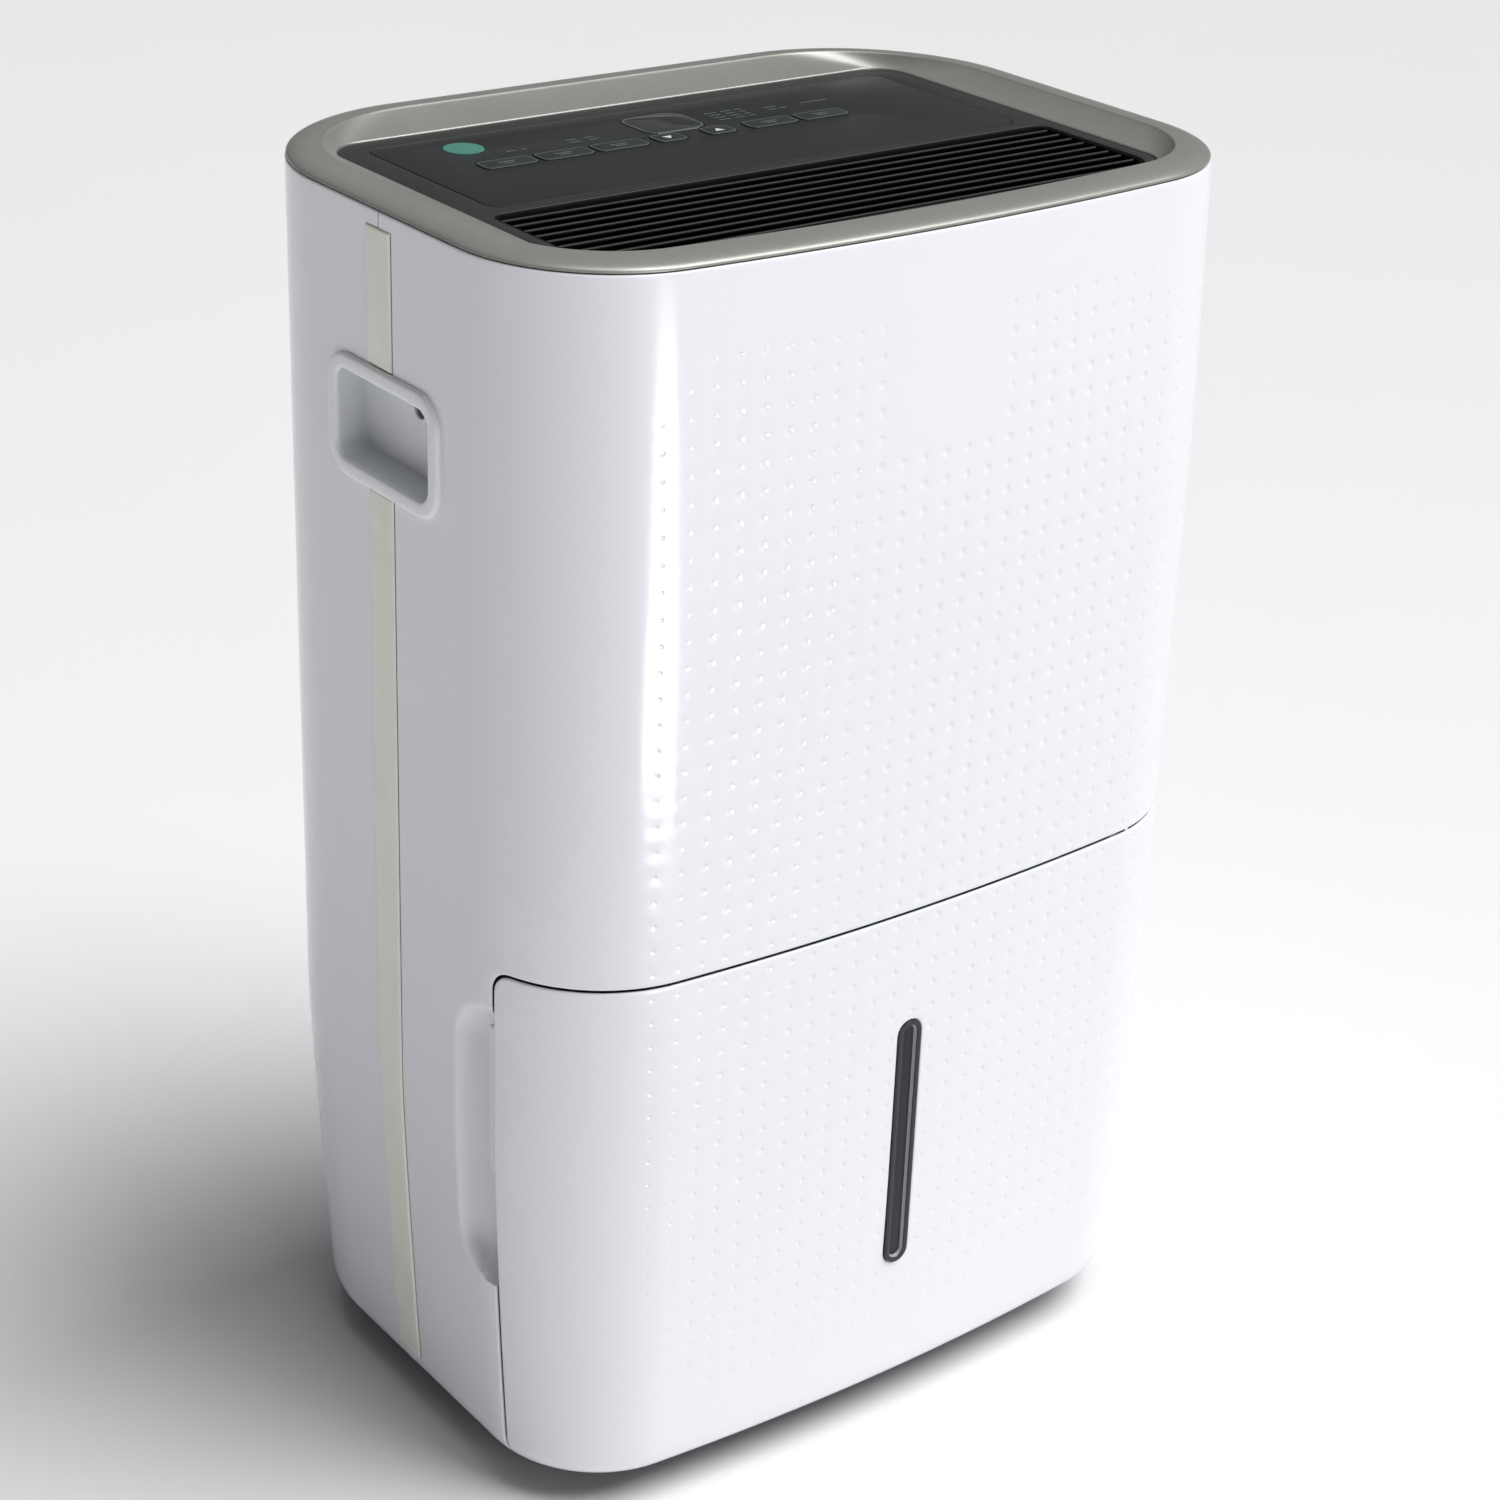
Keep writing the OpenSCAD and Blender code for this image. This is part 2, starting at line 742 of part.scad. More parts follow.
module tub_outline(grow) {
    r = 40 + grow;
    rear = 16 + grow;
    w = tub_half_w + grow;
    y0 = tub_front - grow;
    y1 = tub_back + grow;
    translate([-w + r, y0]) square([2 * (w - r), y1 - y0]);
    translate([-w, y0 + r]) square([2 * w, y1 - y0 - r - rear]);
    translate([-w + rear, y0 + r]) square([2 * (w - rear), y1 - y0 - r]);
    for (s = [-1, 1]) {
        translate([s * (w - r), y0 + r]) circle(r);
        translate([s * (w - rear), y1 - rear]) circle(rear);
    }
}

module bucket_tub() {
    ear = 4;
    color("#b9c2c8") {
        difference() {
            union() {
                translate([0, 0, tub_z]) linear_extrude(rim_z - tub_z) tub_outline(0);
                translate([0, 0, rim_z - 2.5]) linear_extrude(2.5) tub_outline(3.5);
            }
            translate([0, 0, tub_z + 2.4]) linear_extrude(rim_z) tub_outline(-tub_wall);
            window_space(0.2);
        }
        for (s = [-1, 1]) block([s * hinge_x - ear / 2, s * hinge_x + ear / 2],
            [hinge_y - 7, hinge_y + 7], [rim_z - 8, hinge_z + 6]);
        for (s = [-1, 1]) translate([s * (hinge_x + ear / 2 - 0.5), hinge_y, hinge_z])
            rotate([0, s * 90, 0]) cylinder(r = 3, h = 7.5);
        for (s = [-1, 1]) block([s * hinge_x - (s > 0 ? 2 : 11), s * hinge_x + (s > 0 ? 11 : 2)],
            [hinge_y - 6, hinge_y + 6], [rim_z - 10, rim_z]);
        for (s = [-12, 12]) block([float_x + s - 2, float_x + s + 2],
            [float_y - 6, tub_back - 1], [float_z - 6, float_z + 6]);
        translate([float_x - 13, float_y, float_z]) rotate([0, 90, 0]) cylinder(r = 2, h = 26);
    }
}

// The opening for the window lens, from front to back
module window_space(grow) {
    h = window_z[1] - window_z[0];
    translate([0, -100, (window_z[0] + window_z[1]) / 2]) rotate([90, 0, 0])
        linear_extrude(100) rounded(window_w + 2 * grow, h + 2 * grow, window_w / 2 + grow - 0.01);
}

// Ribs that hold the bucket front to the tub
module bucket_ribs() {
    color(white) intersection() {
        cabinet_solid(wall);
        difference() {
            for (x = [-96, 0, 96]) block([x - 11, x + 11], [-half_d - 9, tub_front], [70, 244]);
            window_space(0.3);
        }
    }
}

module bucket_front() {
    color(white) difference() {
        intersection() {
            cabinet_skin();
            across() bucket_side(0);
        }
        window_space(0.3);
    }
}

module bucket_window() {
    front = half_d + 1.4;
    color("#2a3336") difference() {
        intersection() {
            window_space(0);
            block([-20, 20], [-front, tub_front + tub_wall], [0, bucket_z]);
        }
        block([-window_w / 2 + 2, window_w / 2 - 2], [-front + 2.4, -100],
            [window_z[0] + 8, window_z[1] - 8]);
    }
}

module bucket_lid() {
    color("#c6cdd2") difference() {
        union() {
            translate([0, 0, rim_z + 0.1]) linear_extrude(2) intersection() {
                tub_outline(3.5);
                translate([-half_w, -half_d]) square([body_w, half_d - 90]);
            }
            translate([0, 0, rim_z - 6]) linear_extrude(7) intersection() {
                difference() {
                    tub_outline(-tub_wall - 0.3);
                    tub_outline(-tub_wall - 2);
                }
                translate([-half_w, -half_d]) square([body_w, half_d - 90]);
            }
        }
        for (s = [-1, 1]) translate([s * 70, -112, rim_z - 1]) linear_extrude(5) rounded(60, 10, 4.9);
    }
}

module bucket_handle() {
    x0 = hinge_x + 2.4;
    arm = 4;
    color("#8b9297") {
        for (s = [-1, 1]) difference() {
            union() {
                translate([s * (x0 + arm / 2), hinge_y, hinge_z]) rotate([0, 90, 0])
                    cylinder(r = 5.6, h = arm, center = true);
                block([s * (x0 + arm / 2) - arm / 2, s * (x0 + arm / 2) + arm / 2],
                    [hinge_y, hinge_y + bail_reach], [hinge_z - 4, hinge_z + 4]);
            }
            translate([s * (x0 + arm / 2), hinge_y, hinge_z]) rotate([0, 90, 0])
                cylinder(r = 3 + fit, h = arm + 2, center = true);
        }
        block([-x0 - arm, x0 + arm], [hinge_y + bail_reach - 2, hinge_y + bail_reach + 8],
            [hinge_z - 4, hinge_z + 4]);
        translate([-45, hinge_y + bail_reach + 3, hinge_z]) rotate([0, 90, 0]) cylinder(r = 6, h = 90);
    }
}

module bucket_float() {
    color("#e6dfc8") {
        difference() {
            union() {
                translate([float_x - 8, float_y, float_z]) rotate([0, 90, 0]) cylinder(r = 4.5, h = 16);
                block([float_x - 4, float_x + 4], [float_y - 34, float_y], [float_z - 3, float_z + 3]);
            }
            translate([float_x - 10, float_y, float_z]) rotate([0, 90, 0]) cylinder(r = 2 + fit, h = 20);
        }
        translate([float_x, float_y - 36, float_z - 24]) linear_extrude(26) rounded(44, 30, 6);
    }
}

// ---- casters ----

module caster_place(k) {
    translate([(k % 2 == 0 ? 1 : -1) * caster_x, (k < 3 ? -1 : 1) * caster_y, 0]) children();
}

module caster_fork(k) {
    half = 9.6;
    cheek = 1.8;
    crown = base_z + 8.2;
    color("#2a2b2c") caster_place(k) {
        translate([0, 0, crown]) cylinder(r = stem_r, h = base_z + 20 - crown);
        translate([0, 0, crown]) cylinder(r = 9, h = 2.2);
        block([-half, half], [-6, caster_trail + 5], [crown, crown + 1.8]);
        for (s = [-1, 1]) block([s * (half - cheek / 2) - cheek / 2, s * (half - cheek / 2) + cheek / 2],
            [caster_trail - 5, caster_trail + 5], [wheel_r - 4, crown + 1]);
        translate([1 - half, caster_trail, wheel_r]) rotate([0, 90, 0]) cylinder(r = 2, h = 2 * half - 2);
    }
}

module caster_wheel(k) {
    color("#4a4c4e") caster_place(k) translate([0, caster_trail, wheel_r]) rotate([0, 90, 0])
        difference() {
            union() {
                cylinder(r = wheel_r, h = 12, center = true);
                cylinder(r = 4, h = 15, center = true);
            }
            cylinder(r = 2 + fit, h = 20, center = true);
        }
}

base_pan();
front_cabinet();
rear_cabinet();
trim_strip(-1);  // trim_strip_l
trim_strip(1);  // trim_strip_r
handle_cup(-1);  // handle_cup_l
handle_cup(1);  // handle_cup_r
handle_screws();
top_ring();
top_deck();
louvre_grille();
control_film();
display_window();
power_disc();
for (k = [0:6]) key(k);
control_board();
bay_partition();
drip_tray();
evaporator();
condenser();
compressor();
compressor_mounts();
refrigerant_pipes();
scroll_housing();
fan_wheel();
fan_motor();
electric_box();
level_switch();
cord_inlet();
drain_port();
drain_cap();
rear_screws();
filter_grille();
filter_net();
bucket_tub();
bucket_ribs();
bucket_front();
bucket_window();
bucket_lid();
bucket_handle();
bucket_float();
for (k = [1:4]) caster_fork(k);
for (k = [1:4]) caster_wheel(k);
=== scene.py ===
"""Portable dehumidifier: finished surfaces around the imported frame.
Lengths in the shapes are millimetres, made into metres as each mesh is built. +Z up, front towards -Y."""
import math

import bmesh
import bpy
import numpy as np
from mathutils import Matrix, Vector


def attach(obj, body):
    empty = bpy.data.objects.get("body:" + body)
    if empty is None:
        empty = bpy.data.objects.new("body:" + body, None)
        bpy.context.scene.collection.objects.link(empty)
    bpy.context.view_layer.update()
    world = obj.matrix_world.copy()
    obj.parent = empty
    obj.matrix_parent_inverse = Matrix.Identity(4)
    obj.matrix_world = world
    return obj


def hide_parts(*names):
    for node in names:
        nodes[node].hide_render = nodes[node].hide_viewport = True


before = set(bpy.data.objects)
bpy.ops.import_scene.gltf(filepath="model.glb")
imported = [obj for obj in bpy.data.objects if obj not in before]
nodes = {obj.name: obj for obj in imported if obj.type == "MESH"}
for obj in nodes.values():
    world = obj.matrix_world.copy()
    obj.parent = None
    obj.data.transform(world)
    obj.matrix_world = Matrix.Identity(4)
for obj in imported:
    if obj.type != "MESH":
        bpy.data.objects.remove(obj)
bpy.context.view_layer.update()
scene = bpy.context.scene
MM = 0.001

# ---- camera ----

lens = bpy.data.cameras.new("main_view")
lens.lens = 75.05
lens.sensor_width = 36
camera = bpy.data.objects.new("main_view", lens)
scene.collection.objects.link(camera)
camera.matrix_world = (
    Matrix.Translation((-0.8391, -1.0909, 0.9689))
    @ Matrix.Rotation(math.radians(-37.92), 4, "Z")
    @ Matrix.Rotation(math.radians(90 - 25.61), 4, "X")
    @ Matrix.Rotation(math.radians(2.26), 4, "Z")
)
scene.camera = camera

# ---- materials ----


def material(
    name,
    colour,
    rough,
    metal=0.0,
    vary=0.03,
    cloud=14,
    grain=1400,
    bump=0.04,
    peel=0.0,
    spread=0.05,
    coat=0.0,
    ior=1.5,
    stripes=0.0,
    weave=0.0,
):
    """A moulded, painted or cast surface. Its colour drifts, its roughness varies and it has a fine grain."""
    m = bpy.data.materials.new(name)
    m.use_nodes = True
    tree = m.node_tree
    make, join = tree.nodes.new, tree.links.new
    shader = tree.nodes["Principled BSDF"]
    place = make("ShaderNodeTexCoord").outputs["Object"]

    def noise(scale, detail):
        n = make("ShaderNodeTexNoise")
        n.inputs["Scale"].default_value = scale
        n.inputs["Detail"].default_value = detail
        join(place, n.inputs["Vector"])
        return n.outputs["Fac"]

    def spanned(value, low, high):
        n = make("ShaderNodeMapRange")
        n.inputs["From Min"].default_value = 0.3
        n.inputs["From Max"].default_value = 0.7
        n.inputs["To Min"].default_value = low
        n.inputs["To Max"].default_value = high
        join(value, n.inputs["Value"])
        return n.outputs["Result"]

    def bumped(height, strength, distance, under=None):
        n = make("ShaderNodeBump")
        n.inputs["Strength"].default_value = strength
        n.inputs["Distance"].default_value = distance
        join(height, n.inputs["Height"])
        if under:
            join(under, n.inputs["Normal"])
        return n.outputs["Normal"]

    drift = make("ShaderNodeMix")
    drift.data_type = "RGBA"
    join(spanned(noise(cloud, 3), 0, 1), drift.inputs[0])
    drift.inputs[6].default_value = [min(1, c * (1 - vary)) for c in colour] + [1]
    drift.inputs[7].default_value = [min(1, c * (1 + vary)) for c in colour] + [1]
    join(drift.outputs[2], shader.inputs["Base Color"])
    fine = noise(grain, 2)
    join(spanned(fine, max(0.02, rough - spread), min(1, rough + spread)), shader.inputs["Roughness"])
    normal = bumped(fine, bump, 0.0002)
    if peel:
        normal = bumped(noise(160, 1), peel, 0.0006, normal)
    if stripes or weave:
        wave = make("ShaderNodeTexWave")
        wave.inputs["Scale"].default_value = stripes or weave
        wave.bands_direction = "Z" if weave else "X"
        join(place, wave.inputs["Vector"])
        normal = bumped(wave.outputs["Fac"], 0.5, 0.0006, normal)
    if weave:
        across = make("ShaderNodeTexWave")
        across.inputs["Scale"].default_value = weave
        join(place, across.inputs["Vector"])
        normal = bumped(across.outputs["Fac"], 0.5, 0.0006, normal)
    join(normal, shader.inputs["Normal"])
    shader.inputs["Metallic"].default_value = metal
    shader.inputs["IOR"].default_value = ior
    shader.inputs["Coat Weight"].default_value = coat
    shader.inputs["Coat Roughness"].default_value = 0.06
    return m


def srgb(r, g, b):
    """Linear colour of an sRGB one given in 0 to 255."""
    return [((c / 255 + 0.055) / 1.055) ** 2.4 if c > 10 else c / 255 / 12.92 for c in (r, g, b)]


SHELL = material("white_shell", srgb(236, 237, 242), 0.16, vary=0.006, cloud=6, bump=0.015, peel=0.03,
                 spread=0.03)
CUP = material("cup_white", srgb(240, 241, 243), 0.3, vary=0.01, bump=0.05, peel=0.02)
# The cup's white painted a little darker: painted shade for the faces inside the grip's recess.
CUP_SHADED = material("cup_white_painted_shade", srgb(224, 226, 230), 0.3, vary=0.01, bump=0.05, peel=0.02)
STRIP = material("trim_strip", srgb(241, 240, 230), 0.34, vary=0.02, cloud=60, bump=0.05)
RING = material("silver_ring", srgb(156, 156, 151), 0.33, metal=0.35, vary=0.03, cloud=30, grain=2600,
                bump=0.07, spread=0.08)
DECK = material("charcoal_deck", srgb(50, 52, 52), 0.5, vary=0.05, cloud=20, grain=1800, bump=0.09,
                ior=1.35)
FILM = material("control_film", srgb(44, 46, 47), 0.36, vary=0.05, cloud=12, grain=2200, bump=0.03, ior=1.3)
BLACK = material("louvre_black", srgb(8, 9, 11), 0.6, vary=0.08, grain=1600, bump=0.08, ior=1.2)
# A lighter grey for the bead along each blade's top edge: a painted sheen.
LOUVRE_SHEEN = material("louvre_painted_sheen", srgb(24, 26, 28), 0.5, vary=0.08, grain=1600, bump=0.06, ior=1.35)
KEY = material("key_face", srgb(48, 51, 52), 0.34, vary=0.05, grain=2000, bump=0.05, ior=1.3)
INK = material("printed_grey", srgb(98, 103, 101), 0.5, vary=0.05, grain=3000, bump=0.02)
INK_LIGHT = material("printed_light", srgb(214, 218, 216), 0.5, vary=0.03, grain=3000, bump=0.02)
TEAL = material("teal_key", srgb(76, 136, 122), 0.3, vary=0.05, cloud=50, grain=2000, bump=0.04)
GLASS = material("display_glass", srgb(34, 38, 38), 0.12, vary=0.04, bump=0.01, coat=0.4)
LENS = material("window_lens", srgb(26, 22, 30), 0.14, vary=0.1, cloud=30, bump=0.01, ior=1.38)
# Light grey on the window's inward chamfer: a painted highlight line.
LENS_HIGHLIGHT = material("window_painted_highlight", srgb(168, 167, 175), 0.3, vary=0.05, bump=0.02)
LENS_RIM = material("window_rim", srgb(40, 37, 44), 0.22, vary=0.06, bump=0.02, ior=1.4)
BASE = material("base_grey", srgb(120, 124, 127), 0.5, vary=0.04, bump=0.12)
TUB = material("tub_plastic", srgb(190, 199, 205), 0.32, vary=0.02, bump=0.06, peel=0.03)
BAIL = material("bail_grey", srgb(146, 153, 158), 0.36, vary=0.03, bump=0.08)
FOAM = material("float_foam", srgb(228, 222, 202), 0.8, vary=0.06, cloud=90, grain=700, bump=0.4)
NET = material("filter_net", srgb(66, 72, 76), 0.7, vary=0.08, grain=900, weave=260)
WHEEL = material("caster_wheel", srgb(42, 43, 45), 0.5, vary=0.08, grain=1200, bump=0.12)
RUBBER = material("rubber_black", srgb(30, 30, 31), 0.62, vary=0.1, grain=1200, bump=0.15)
STEEL = material("steel", srgb(176, 180, 183), 0.32, metal=1, vary=0.05, cloud=60, grain=1800, bump=0.06)
DARK_STEEL = material("screw_dark", srgb(54, 54, 56), 0.4, metal=0.8, vary=0.08, bump=0.08)
COPPER = material("copper", srgb(196, 124, 74), 0.3, metal=1, vary=0.12, cloud=50, bump=0.06)
FINS = material("coil_fins", srgb(186, 190, 193), 0.38, metal=0.9, vary=0.06, stripes=500)
DARK_FINS = material("coil_fins_dark", srgb(84, 88, 90), 0.45, metal=0.6, vary=0.08, stripes=500)
PAINTED = material("compressor_paint", srgb(38, 40, 42), 0.28, vary=0.1, cloud=40, peel=0.12)
BOARD = material("circuit_board", srgb(48, 104, 62), 0.42, vary=0.16, cloud=220, bump=0.2)
INNER = material("inner_plastic", srgb(200, 203, 206), 0.45, vary=0.03, bump=0.08)
INNER_DARK = material("inner_dark", srgb(40, 41, 43), 0.6, vary=0.06, bump=0.1)
ZINC = material("zinc_sheet", srgb(150, 155, 160), 0.42, metal=0.8, vary=0.12, cloud=70, bump=0.06)

# ---- meshes ----


def finish_mesh(me, angle):
    """Joins doubled points, drops empty faces and marks the sharp edges."""
    bm = bmesh.new()
    bm.from_mesh(me)
    bmesh.ops.remove_doubles(bm, verts=bm.verts, dist=1e-6)
    bmesh.ops.dissolve_degenerate(bm, edges=bm.edges, dist=1e-7)
    loose = [v for v in bm.verts if not v.link_faces]
    bmesh.ops.delete(bm, geom=loose, context="VERTS")
    bm.to_mesh(me)
    bm.free()
    me.shade_smooth()
    me.set_sharp_from_angle(angle=math.radians(angle))


def settle(obj):
    """Turns an object's modifiers into its own mesh."""
    graph = bpy.context.evaluated_depsgraph_get()
    made = bpy.data.meshes.new_from_object(obj.evaluated_get(graph))
    old = obj.data
    obj.modifiers.clear()
    if obj.type == "MESH":
        obj.data = made
        return obj
    name = obj.name
    bpy.data.objects.remove(obj)
    bpy.data.curves.remove(old)
    solid = bpy.data.objects.new(name, made)
    scene.collection.objects.link(solid)
    return solid


def put(obj, mat, body, stands_for=()):
    """Gives an object its material and its body, and hides the CAD nodes that it stands for."""
    if mat:
        obj.data.materials.clear()
        obj.data.materials.append(mat)
    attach(obj, body)
    if stands_for:
        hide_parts(*stands_for)
    return obj


def piece(name, verts, faces, mats, body, stands_for=(), angle=38, thick=0.0, marks=None):
    """A mesh from points in millimetres. thick is a skin's wall, and marks choose each face's material."""
    me = bpy.data.meshes.new(name)
    me.from_pydata([tuple(c * MM for c in v) for v in verts], [], faces)
    for m in mats if marks else [mats]:
        me.materials.append(m)
    if marks:
        me.polygons.foreach_set("material_index", marks)
    finish_mesh(me, angle)
    obj = bpy.data.objects.new(name, me)
    scene.collection.objects.link(obj)
    if thick:
        wall = obj.modifiers.new("wall", "SOLIDIFY")
        wall.thickness = thick * MM
        wall.offset = -1
        settle(obj)
        obj.data.shade_smooth()
        obj.data.set_sharp_from_angle(angle=math.radians(angle))
    return put(obj, None, body, stands_for)


def strung(loops, closed=True, cap_first=False, cap_last=False, start=0):
    """Faces between loops of points that follow each other."""
    n = len(loops[0])
    verts = [p for loop in loops for p in loop]
    faces = []
    for k in range(len(loops) - 1):
        for i in range(n if closed else n - 1):
            j = (i + 1) % n
            faces.append([start + k * n + i, start + k * n + j, start + (k + 1) * n + j,
                          start + (k + 1) * n + i])
    if cap_first:
        faces.append([start + i for i in range(n)][::-1])
    if cap_last:
        faces.append([start + (len(loops) - 1) * n + i for i in range(n)])
    return verts, faces


class Heap:
    """Several closed shapes gathered into one mesh."""

    def __init__(self):
        self.verts, self.faces, self.marks = [], [], []

    def add(self, verts, faces, mark=0):
        base = len(self.verts)
        self.verts += [tuple(v) for v in verts]
        self.faces += [[base + i for i in f] for f in faces]
        self.marks += [mark] * len(faces)

    def loops(self, loops, mark=0, **how):
        self.add(*strung(loops, **how), mark)


def rounded_loop(w, h, r, n=7):
    """A rounded rectangle round the origin, anticlockwise."""
    out = []
    for q, (sx, sy) in enumerate(((1, -1), (1, 1), (-1, 1), (-1, -1))):
        for k in range(n + 1):
            a = math.radians(-90 + 90 * q + 90 * k / n)
            out.append((sx * (w / 2 - r) + r * math.cos(a), sy * (h / 2 - r) + r * math.sin(a)))
    return out


def ring_loop(r, n=48):
    return [(r * math.cos(2 * math.pi * k / n), r * math.sin(2 * math.pi * k / n)) for k in range(n)]


# ---- the cabinet's form ----

HALF_W, HALF_D, BOW, FRONT_R, REAR_R = 195.0, 144.0, 1440.0, 70.0, 90.0
SEAM_Z = 606.0
BOW_Y = BOW - HALF_D
CORNER_X = HALF_W - FRONT_R
CORNER_Y = BOW_Y - math.sqrt((BOW - FRONT_R) ** 2 - CORNER_X**2)
BOW_A = math.asin(CORNER_X / (BOW - FRONT_R))
U1 = BOW * BOW_A
U2 = U1 + FRONT_R * (math.pi / 2 - BOW_A)
U3 = U2 + HALF_D - REAR_R - CORNER_Y
U4 = U3 + REAR_R * math.pi / 2
U5 = U4 + HALF_W - REAR_R


def plan(u, i, f):
    """Place and outward direction on the outline, u along it from the middle of the front."""
    a, side = np.abs(u), np.where(u < 0, -1.0, 1.0)
    past = a > U5
    a, side = np.where(past, 2 * U5 - a, a), np.where(past, -side, side)
    t1 = -math.pi / 2 + a / BOW
    t2 = -math.pi / 2 + BOW_A + (a - U1) / FRONT_R
    t4 = (a - U3) / REAR_R
    run = np.clip((a - U2) / (U3 - U2), 0, 1)
    rear_y = HALF_D - REAR_R
    where = [a <= U1, a <= U2, a <= U3, a <= U4]
    x = np.select(
        where,
        [
            (BOW - i) * np.cos(t1),
            CORNER_X + (FRONT_R - i) * np.cos(t2),
            HALF_W - i,
            HALF_W - REAR_R + (REAR_R - i) * np.cos(t4),
        ],
        HALF_W - REAR_R - (a - U4),
    )
    y = np.select(
        where,
        [
            BOW_Y + f + (BOW - i) * np.sin(t1),
            CORNER_Y + f + (FRONT_R - i) * np.sin(t2),
            CORNER_Y + f + run * (rear_y - CORNER_Y - f),
            rear_y + (REAR_R - i) * np.sin(t4),
        ],
        HALF_D - i,
    )
    nx = np.select(where, [np.cos(t1), np.cos(t2), 1 + 0 * a, np.cos(t4)], 0)
    ny = np.select(where, [np.sin(t1), np.sin(t2), 0 * a, np.sin(t4)], 1)
    return side * x, y, side * nx, ny


def low_part(z):
    return np.clip((195 - z) / 165, 0, None)


def draw_in(z):
    """How far the walls draw in towards the floor."""
    under = np.clip((30 - z) / 12, 0, 1)
    return 8.2 * low_part(z) ** 1.25 + 6.5 * (1 - np.sqrt(1 - under * under))


def lean(z):
    """How much further the front stands back than the other walls."""
    high = np.clip((z - 455) / 151, 0, None)
    return 5.5 * high**1.4 + 3.6 * low_part(z) ** 3.2 - 8.2 * low_part(z) ** 1.25


def on_skin(u, z, depth):
    """Points on the cabinet's outside, depth below it."""
    x, y, nx, ny = plan(u, draw_in(z), lean(z))
    return np.stack([x - depth * nx, y - depth * ny, z + 0 * x], axis=-1)


def u_at_y(y, z):
    """Place on the outline where the right wall or the corner in front of it has this y."""
    z = np.asarray(z, float)
    f = lean(z)
    flat = U2 + (y - CORNER_Y - f) / (HALF_D - REAR_R - CORNER_Y - f) * (U3 - U2)
    bend = U2 + FRONT_R * np.arcsin(np.clip((y - CORNER_Y - f) / (FRONT_R - draw_in(z)), -1, 1))
    return np.where(y > CORNER_Y + f, flat, bend)


def roll(d, r):
    """How deep a rounded edge of radius r is at distance d from the edge."""
    return r - np.sqrt(r * r - (r - np.clip(d, 0, r)) ** 2)


class Skin:
    """A moulded skin on rows of places along the outline, with dents and holes worked into its cells."""

    def __init__(self, zs, rows):
        self.z = np.array(zs, float)
        self.u = np.array(rows, float)
        self.zz = np.repeat(self.z[:, None], self.u.shape[1], axis=1)
        self.gone = np.zeros((len(zs) - 1, self.u.shape[1] - 1), bool)
        self.extra, self.faces = [], []

    def row(self, z):
        return int(np.argmin(np.abs(self.z - z)))

    def column(self, u, z):
        return int(np.argmin(np.abs(self.u[self.row(z)] - u)))

    def leave_out(self, u0, u1, z0, z1):
        j0, j1 = self.row(z0), self.row(z1)
        k0, k1 = self.column(u0, z0), self.column(u1, z0)
        self.gone[j0:j1, k0:k1] = True
        return j0, j1, k0, k1

    def feature(self, u0, u1, z0, z1, centre, arm, rings, fill):
        """Rings round a point or a line, in place of the cells in a box. rings are (radius, depth)."""
        j0, j1, k0, k1 = self.leave_out(u0, u1, z0, z1)
        width = self.u.shape[1]
        rim = [(j0, k) for k in range(k0, k1)] + [(j, k1) for j in range(j0, j1)]
        rim += [(j1, k) for k in range(k1, k0, -1)] + [(j, k0) for j in range(j1, j0, -1)]
        last = [j * width + k for j, k in rim]
        ways = []
        for j, k in rim:
            du, dz = self.u[j, k] - centre[0], self.z[j] - centre[1]
            qu, qz = max(-arm[0], min(arm[0], du)), max(-arm[1], min(arm[1], dz))
            size = math.hypot(du - qu, dz - qz)
            ways.append((centre[0] + qu, centre[1] + qz, (du - qu) / size, (dz - qz) / size))
        first = self.u.size
        for radius, depth in rings:
            now = []
            for qu, qz, cu, cz in ways:
                now.append(first + len(self.extra))
                self.extra.append((qu + radius * cu, qz + radius * cz, depth))
            for i in range(len(rim)):
                j = (i + 1) % len(rim)
                self.faces.append([last[i], last[j], now[j], now[i]])
            last = now
        if fill is not None:
            tip = first + len(self.extra)
            self.extra.append((centre[0], centre[1], fill))
            for i in range(len(rim)):
                self.faces.append([last[i], last[(i + 1) % len(rim)], tip])

    def mesh(self, depth_at):
        """Points and faces, with the tensor points pushed in by depth_at(u, z)."""
        depth = depth_at(self.u, self.zz)
        flat = on_skin(self.u, self.zz, depth).reshape(-1, 3)
        more = np.array(self.extra, float).reshape(-1, 3)
        verts = np.concatenate([flat, on_skin(more[:, 0], more[:, 1], more[:, 2])])
        width = self.u.shape[1]
        faces = list(self.faces)
        for j, k in zip(*np.nonzero(~self.gone)):
            a = int(j) * width + int(k)
            faces.append([a, a + 1, a + width + 1, a + width])
        return verts.tolist(), faces


FOOT_ROWS = [30 - 12 * math.sin(math.radians(90 - 90 * k / 9)) for k in range(10)]
DENT_PITCH = 12.0
DENT_TOP_Z = 568.2
SEAM_EDGE_Z = 276.0
BUCKET_Y, BUCKET_Z, GAP = -85.0, 285.0, 1.4
STRIP_Z = (29.7, 599.3)
WINDOW_Z, WINDOW_HALF = 159.5, 60.8
HALF_GAP = 0.35
SHELL_WALL = 2.4
GRIP_HOLE = (-44.0, 38.0, 487.2, 532.2)  # lowest and highest Y, then Z


def dent_size(col, row, z):
    """Radius and depth of a dent: small round the edge of the pattern and fading towards the foot."""
    inner = min(col, 26 - col)
    r = {1: 1.5, 2: 1.65, 3: 2.1}.get(inner, 2.35)
    r *= {0: 0.72, 1: 0.84, 2: 0.95}.get(row, 1)
    r *= 0.42 + 0.58 * min(1, max(0, (z - 64) / 290)) ** 0.75
    mix = (col * 7919 + row * 104729) % 97 / 96
    r *= 0.9 + 0.14 * mix - (0.2 if (col * 31 + row * 57) % 23 == 0 else 0)
    return r, 0.17 * r


